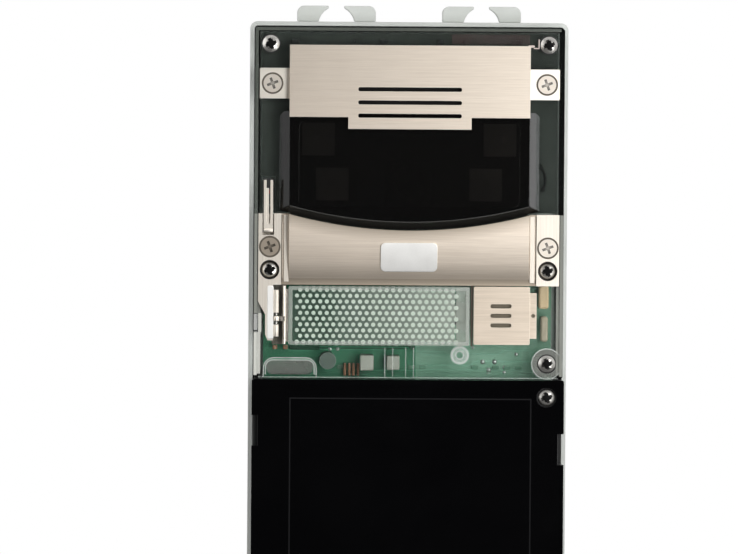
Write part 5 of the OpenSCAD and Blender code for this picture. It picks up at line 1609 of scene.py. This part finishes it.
@dataclass
class CircuitBoard(Unit):
    """The main board with its parts, tracks and solder.

    A part is its finish, its node and the radius of its edges. A track is its two ends, its height, its step
    and where it steps. A pad is x, up and radius.
    """

    parts: tuple[tuple[Finish, str, float], ...] = (
        (FILM_CREAM, "film_capacitors", 0.4),
        (CAN_ALUMINIUM, "electrolytic_capacitors", 0.25),
        (CHIP_OLIVE, "small_components", 0.1),
        (CHIP_BLACK, "main_processor", 0.1),
        (RELAY_BLUE, "door_relay", 0.3),
        (TERMINAL_GREEN, "terminal_block", 0.15),
    )
    face: float = 8.0
    track_half_w: float = 0.22
    track_h: float = 0.06
    track_top: float = 0.8
    track_steps: int = 60
    jog_w: float = 3.0
    track_plan: tuple[Row, ...] = (
        (-27.0, 12.0, 3.6, -1.4, 1.0),
        (-27.0, 13.0, 2.8, -1.5, 4.0),
        (-20.0, 36.0, -3.6, 0.3, 4.5),
        (4.0, 38.0, -1.9, 1.2, 20.5),
        (4.0, 37.0, 4.2, -0.9, 30.0),
        (19.0, 38.5, 1.6, 1.1, 29.0),
        (-44.0, -29.0, 3.2, -0.8, -37.0),
    )
    pad_spots: tuple[Three, ...] = (
        (23.4, -0.8, 0.75), (27.1, -0.8, 0.75), (25.3, -3.3, 0.75), (33.8, 1.6, 0.6), (30.2, -2.4, 0.6),
        (30.2, -4.0, 0.6), (-23.8, 2.9, 0.6), (-21.4, 2.9, 0.6), (20.4, 3.6, 0.5),
    )
    pad_share: float = 0.45
    pad_steps: int = 5
    pad_sides: int = 16
    coil: Plate = Plate((1.5, 3.6, 0.7), (41.9, 19.6), (8.0, 15.0), 0.5)
    resistor: Plate = Plate((1.1, 3.9, 0.8), (42.2, 9.6), (8.0, 13.0), 0.5)
    # Film of painted shadow that the key casts on the board
    key_shadow: Plate = Plate((19.6, 1.3, 0.3), (-17.0, 3.9), (8.0, 8.04), 0.01)
    leg_x: Row = (-19.2, -17.8, -16.5, -15.1)
    leg_ends: Pair = (-5.0, -1.4)
    leg_size: Three = (0.35, 1.5, 0.2)
    stub_x: Row = (-40.8, -37.6)
    stub_ends: Pair = (2.9, 4.1)
    stub_size: Three = (0.7, 1.5, 0.3)
    leg_level: float = 9.5

    def tracks(self) -> Surface:
        """Run raised tracks along the board.

        Each goes level from x0 to x1 and rises by a step where it jogs:
        up = base + step * s, where s is a smooth 0 to 1 over the jog's width.

        Returns:
            All the tracks as one surface.
        """
        x0, x1, base, step, jog = np.array(self.track_plan).T[:, :, None]
        x = x0 + (x1 - x0) * np.linspace(0.0, 1.0, self.track_steps)[None, :]
        ease = np.clip((x - jog) / self.jog_w + 0.5, 0.0, 1.0)
        up = base + step * ease * ease * (3.0 - 2.0 * ease)
        paths = np.stack((x, up, np.full_like(x, self.face)), axis=-1)
        half, top = self.track_half_w, self.track_top * self.track_half_w
        return sweep(paths, np.array(((-half, 0.0), (half, 0.0), (top, self.track_h), (-top, self.track_h))))

    def pads(self) -> Surface:
        """Set low solder domes on the board."""
        spots = np.array(self.pad_spots)
        centres = np.column_stack((spots[:, :2], np.full(len(spots), self.face)))
        return lathe(low_dome(1.0, self.pad_share, self.pad_steps), centres, spots[:, 2], self.pad_sides)

    def legs(self) -> Surface:
        """Stand a row of wide legs and two stubs on the board."""
        legs = np.array([(x, self.leg_ends[0], x, self.leg_ends[1], self.leg_level) for x in self.leg_x])
        stubs = np.array([(x, self.stub_ends[0], x, self.stub_ends[1], self.leg_level) for x in self.stub_x])
        return join([strips(legs, soft_bar(*self.leg_size)), strips(stubs, soft_bar(*self.stub_size))])

    def dress(self, bench: Bench) -> None:
        """Coat the board's parts, then lay the tracks, the solder and the loose parts."""
        bench.coat(BOARD_GREEN, "main_board")
        bench.coat(SCREW_STEEL, "board_screws", "network_jack", "terminal_screws")
        for finish, name, edge in self.parts:
            bench.coat(finish, name, edge=edge)
        bench.piece("board_tracks", self.tracks(), TRACK_GREEN, "board_green")
        bench.piece("solder_pads", self.pads(), SOLDER_TIN, "screw_steel")
        bench.piece("amber_coil", self.coil.build(), COIL_PEACH, "ribbon_amber")
        bench.piece("brown_resistor", self.resistor.build(), RESISTOR_CLAY, "film_cream")
        bench.piece("copper_legs", self.legs(), LEG_COPPER, "ribbon_amber")
        # Painted shadow of the key on the board
        bench.piece("key_shadow_film", self.key_shadow.build(), SHADE_GREEN, "board_green")


@dataclass
class TamperUnit(Unit):
    """The forked blade at the left and the switch that it presses."""

    edge: float = 0.1
    shim: Plate = Plate((3.0, 3.4, 0.3), (-42.8, 41.6), (19.5, 19.9), 0.1)

    def dress(self, bench: Bench) -> None:
        """Give the blade and its switch their finishes, and lay a shim behind the blade."""
        bench.coat(PLATE_METAL, "tamper_lever", edge=self.edge)
        bench.coat(SCREW_STEEL, "tamper_pin")
        bench.coat(CHIP_BLACK, "tamper_switch")
        bench.coat(PLUNGER_RED, "tamper_plunger")
        bench.piece("blade_shim", self.shim.build(), PLATE_METAL, "brushed_metal")


@dataclass
class DisplayModule(Unit):
    """The black lower module with its glass, boards and screws, ringed as the upper housing's are."""

    housing: ClearHousing
    edge: float = 0.3
    seats: tuple[Three, ...] = (
        (42.7, -11.05, 22.0), (-42.7, -97.25, 22.0), (42.7, -97.25, 22.0),
    )

    def dress(self, bench: Bench) -> None:
        """Coat the module and lay a ring round each of its screws."""
        bench.coat(BLACK_PLASTIC, "display_frame", edge=self.edge)
        bench.coat(SCREEN_GLASS, "display_glass", edge=self.edge)
        bench.coat(CHIP_BLACK, "display_panel")
        bench.coat(BOARD_GREEN, "display_board")
        bench.coat(RIBBON_AMBER, "display_ribbon")
        bench.coat(SCREW_STEEL, "display_screws")
        seats = np.array(self.seats)
        bench.piece("display_screw_rings", self.housing.rings(seats), SEAL_RUBBER, "seal_rubber")
        # Painted shade: a black film round each driver recess
        bench.piece("display_screw_recess_shade", self.housing.recess_shades(seats), LEAD_AND_SHADE_BLACK, "screw_steel")


@dataclass(frozen=True)
class Softbox:
    """A soft lamp that looks at the middle of the station."""

    name: str
    place: Three
    width: float
    height: float
    power: float

    def hang(self, aim: Vector) -> None:
        """Hang the lamp in the scene, turned to the aim."""
        lamp = bpy.data.lights.new(self.name, "AREA")
        lamp.shape = "RECTANGLE"
        lamp.size, lamp.size_y, lamp.energy = self.width, self.height, self.power
        holder = bpy.data.objects.new(self.name, lamp)
        holder.location = self.place
        holder.visible_camera = False
        holder.rotation_euler = (aim - Vector(self.place)).to_track_quat("-Z", "Y").to_euler()
        bpy.context.scene.collection.objects.link(holder)


@dataclass
class Studio:
    """Camera, lamps, white surroundings and a pale floor."""

    view_x: float = -0.012
    view_up: float = 0.0257
    distance: float = 2.4
    swing: float = -1.2
    lift: float = 2.0
    front: float = 0.0222
    width: float = 0.227
    sensor: float = 36.0
    roll: float = 0.40
    near: float = 0.01
    floor_r: float = 0.30
    floor_sides: int = 96
    floor_tones: tuple[Colour, Colour] = (paint(240, 240, 239), paint(234, 234, 233))
    floor_glow: float = 0.16
    floor_fade: Pair = (0.35, 0.95)
    floor_noise: float = 60.0
    ambient: float = 0.45
    ambient_tones: Pair = (0.7, 1.1)
    ambient_window: Pair = (-0.6, 0.6)
    viewer_dark: float = 0.03
    viewer_window: Pair = (-0.95, -0.6)
    below_dark: float = 0.35
    below_window: Pair = (-0.45, 0.1)
    lamps: tuple[Softbox, ...] = (
        Softbox("key_right", (0.24, -0.64, 0.0), 0.24, 0.50, 2.15),
        Softbox("side_right", (0.70, -0.15, 0.05), 0.30, 0.60, 1.15),
        Softbox("fill_left", (-0.55, -0.62, 0.20), 0.35, 0.60, 0.8),
        Softbox("top_soft", (0.05, -0.30, 0.80), 0.60, 0.40, 1.2),
    )

    def camera(self) -> None:
        """Place the camera so that the picture spans the given width at the front."""
        lens = bpy.data.cameras.new("camera")
        lens.sensor_fit = "HORIZONTAL"
        lens.sensor_width = self.sensor
        lens.lens = self.sensor * self.distance / self.width
        lens.clip_start = self.near
        holder = bpy.data.objects.new("camera", lens)
        angles = ((self.swing, "Z"), (90.0 - self.lift, "X"), (self.roll, "Z"))
        swing, lift, roll = (Matrix.Rotation(math.radians(angle), 4, axis) for angle, axis in angles)
        aim = Matrix.Translation((self.view_x, -self.front, self.view_up))
        holder.matrix_world = aim @ swing @ lift @ roll @ Matrix.Translation((0.0, 0.0, self.distance))
        bpy.context.scene.collection.objects.link(holder)
        bpy.context.scene.camera = holder

    @staticmethod
    def seen(graph: Graph) -> Socket:
        """Tell the rays that show the background from those that only light the object."""
        path = graph.add("ShaderNodeLightPath").outputs
        shown = graph.calc("MAXIMUM", path["Is Camera Ray"], path["Is Glossy Ray"])
        return graph.calc("MAXIMUM", shown, path["Is Transmission Ray"])

    def surroundings(self) -> None:
        """Make white surroundings that darken towards the viewer's side in reflections."""
        world = bpy.data.worlds.new("surroundings")
        bpy.context.scene.world = world
        graph = fresh_graph(world)
        _, depth, upward = graph.axes(graph.add("ShaderNodeTexCoord").outputs["Generated"])
        camera_ray = graph.add("ShaderNodeLightPath").outputs["Is Camera Ray"]
        toward = graph.span(depth, self.viewer_dark, 1.0, *self.viewer_window)
        below = graph.span(upward, self.below_dark, 1.0, *self.below_window)
        shown = graph.calc("MAXIMUM", camera_ray, graph.times(toward, below))
        sky = graph.span(upward, *self.ambient_tones, *self.ambient_window)
        ambient = graph.times(sky, self.ambient)
        seen = self.seen(graph)
        lit = graph.times(ambient, graph.calc("SUBTRACT", 1.0, seen))
        strength = graph.calc("ADD", lit, graph.times(shown, seen))
        back = graph.add("ShaderNodeBackground", {"Color": WHITE, "Strength": strength})
        graph.add("ShaderNodeOutputWorld", {"Surface": back.outputs[0]})

    def floor_material(self) -> bpy.types.Material:
        """Make the pale floor's material, which fades to white and is dim in reflections.

        Returns:
            The new material.
        """
        material = bpy.data.materials.new("floor_white")
        graph = fresh_graph(material)
        place = graph.add("ShaderNodeTexCoord").outputs["Object"]
        across, depth, _ = graph.axes(place)
        inner, outer = (share * self.floor_r for share in self.floor_fade)
        fade = graph.span(graph.reach(across, depth), 0.0, 1.0, inner, outer)
        tone = graph.mix(graph.noise(place, self.floor_noise, 3.0), *self.floor_tones)
        matt = graph.add("ShaderNodeBsdfDiffuse", {"Color": tone}).outputs[0]
        white = graph.add("ShaderNodeEmission", {"Color": WHITE, "Strength": 1.0}).outputs[0]
        share = graph.times(fade, self.seen(graph))
        mixed = graph.add("ShaderNodeMixShader", {0: share, 1: matt, 2: white}).outputs[0]
        dim = graph.add("ShaderNodeEmission", {"Color": WHITE, "Strength": self.floor_glow}).outputs[0]
        mirrored = graph.add("ShaderNodeLightPath").outputs["Is Glossy Ray"]
        both = graph.add("ShaderNodeMixShader", {0: mirrored, 1: mixed, 2: dim}).outputs[0]
        graph.add("ShaderNodeOutputMaterial", {"Surface": both})
        return material

    def floor(self, level: float) -> None:
        """Lay a round pale floor, whose edge is (R cos a, R sin a) at one height.

        Args:
            level: Height of the floor.
        """
        turn = turns(self.floor_sides)
        round_x, round_y = self.floor_r * np.cos(turn), self.floor_r * np.sin(turn)
        edge = np.column_stack((round_x, round_y, np.full_like(turn, level)))
        mesh = bpy.data.meshes.new("floor")
        mesh.from_pydata(edge.tolist(), [], [list(range(self.floor_sides))])
        mesh.materials.append(self.floor_material())
        plate = bpy.data.objects.new("floor", mesh)
        bpy.context.scene.collection.objects.link(plate)
        plate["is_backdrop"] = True

    def set_up(self, low: Vector, high: Vector) -> None:
        """Put up the whole studio.

        Args:
            low: Lowest corner of the station.
            high: Highest corner of the station.
        """
        self.camera()
        self.surroundings()
        self.floor(low.z)
        for lamp in self.lamps:
            lamp.hang((low + high) / 2.0)
        bpy.context.scene.view_settings.view_transform = "Standard"


def main() -> None:
    """Load the frame, put up the studio and dress each sub-assembly."""
    logging.basicConfig(level=logging.INFO, format="%(message)s")
    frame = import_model()
    cad_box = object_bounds()
    bench = Bench(frame)
    Studio().set_up(*cad_box)
    housing = ClearHousing()
    front = (WallTray(), housing, SpeakerUnit(), CameraUnit(), FrontBand(), CallKey(), MicrophoneUnit())
    for unit in (*front, CircuitBoard(), TamperUnit(), DisplayModule(housing)):
        unit.dress(bench)


if __name__ == "__main__":
    main()
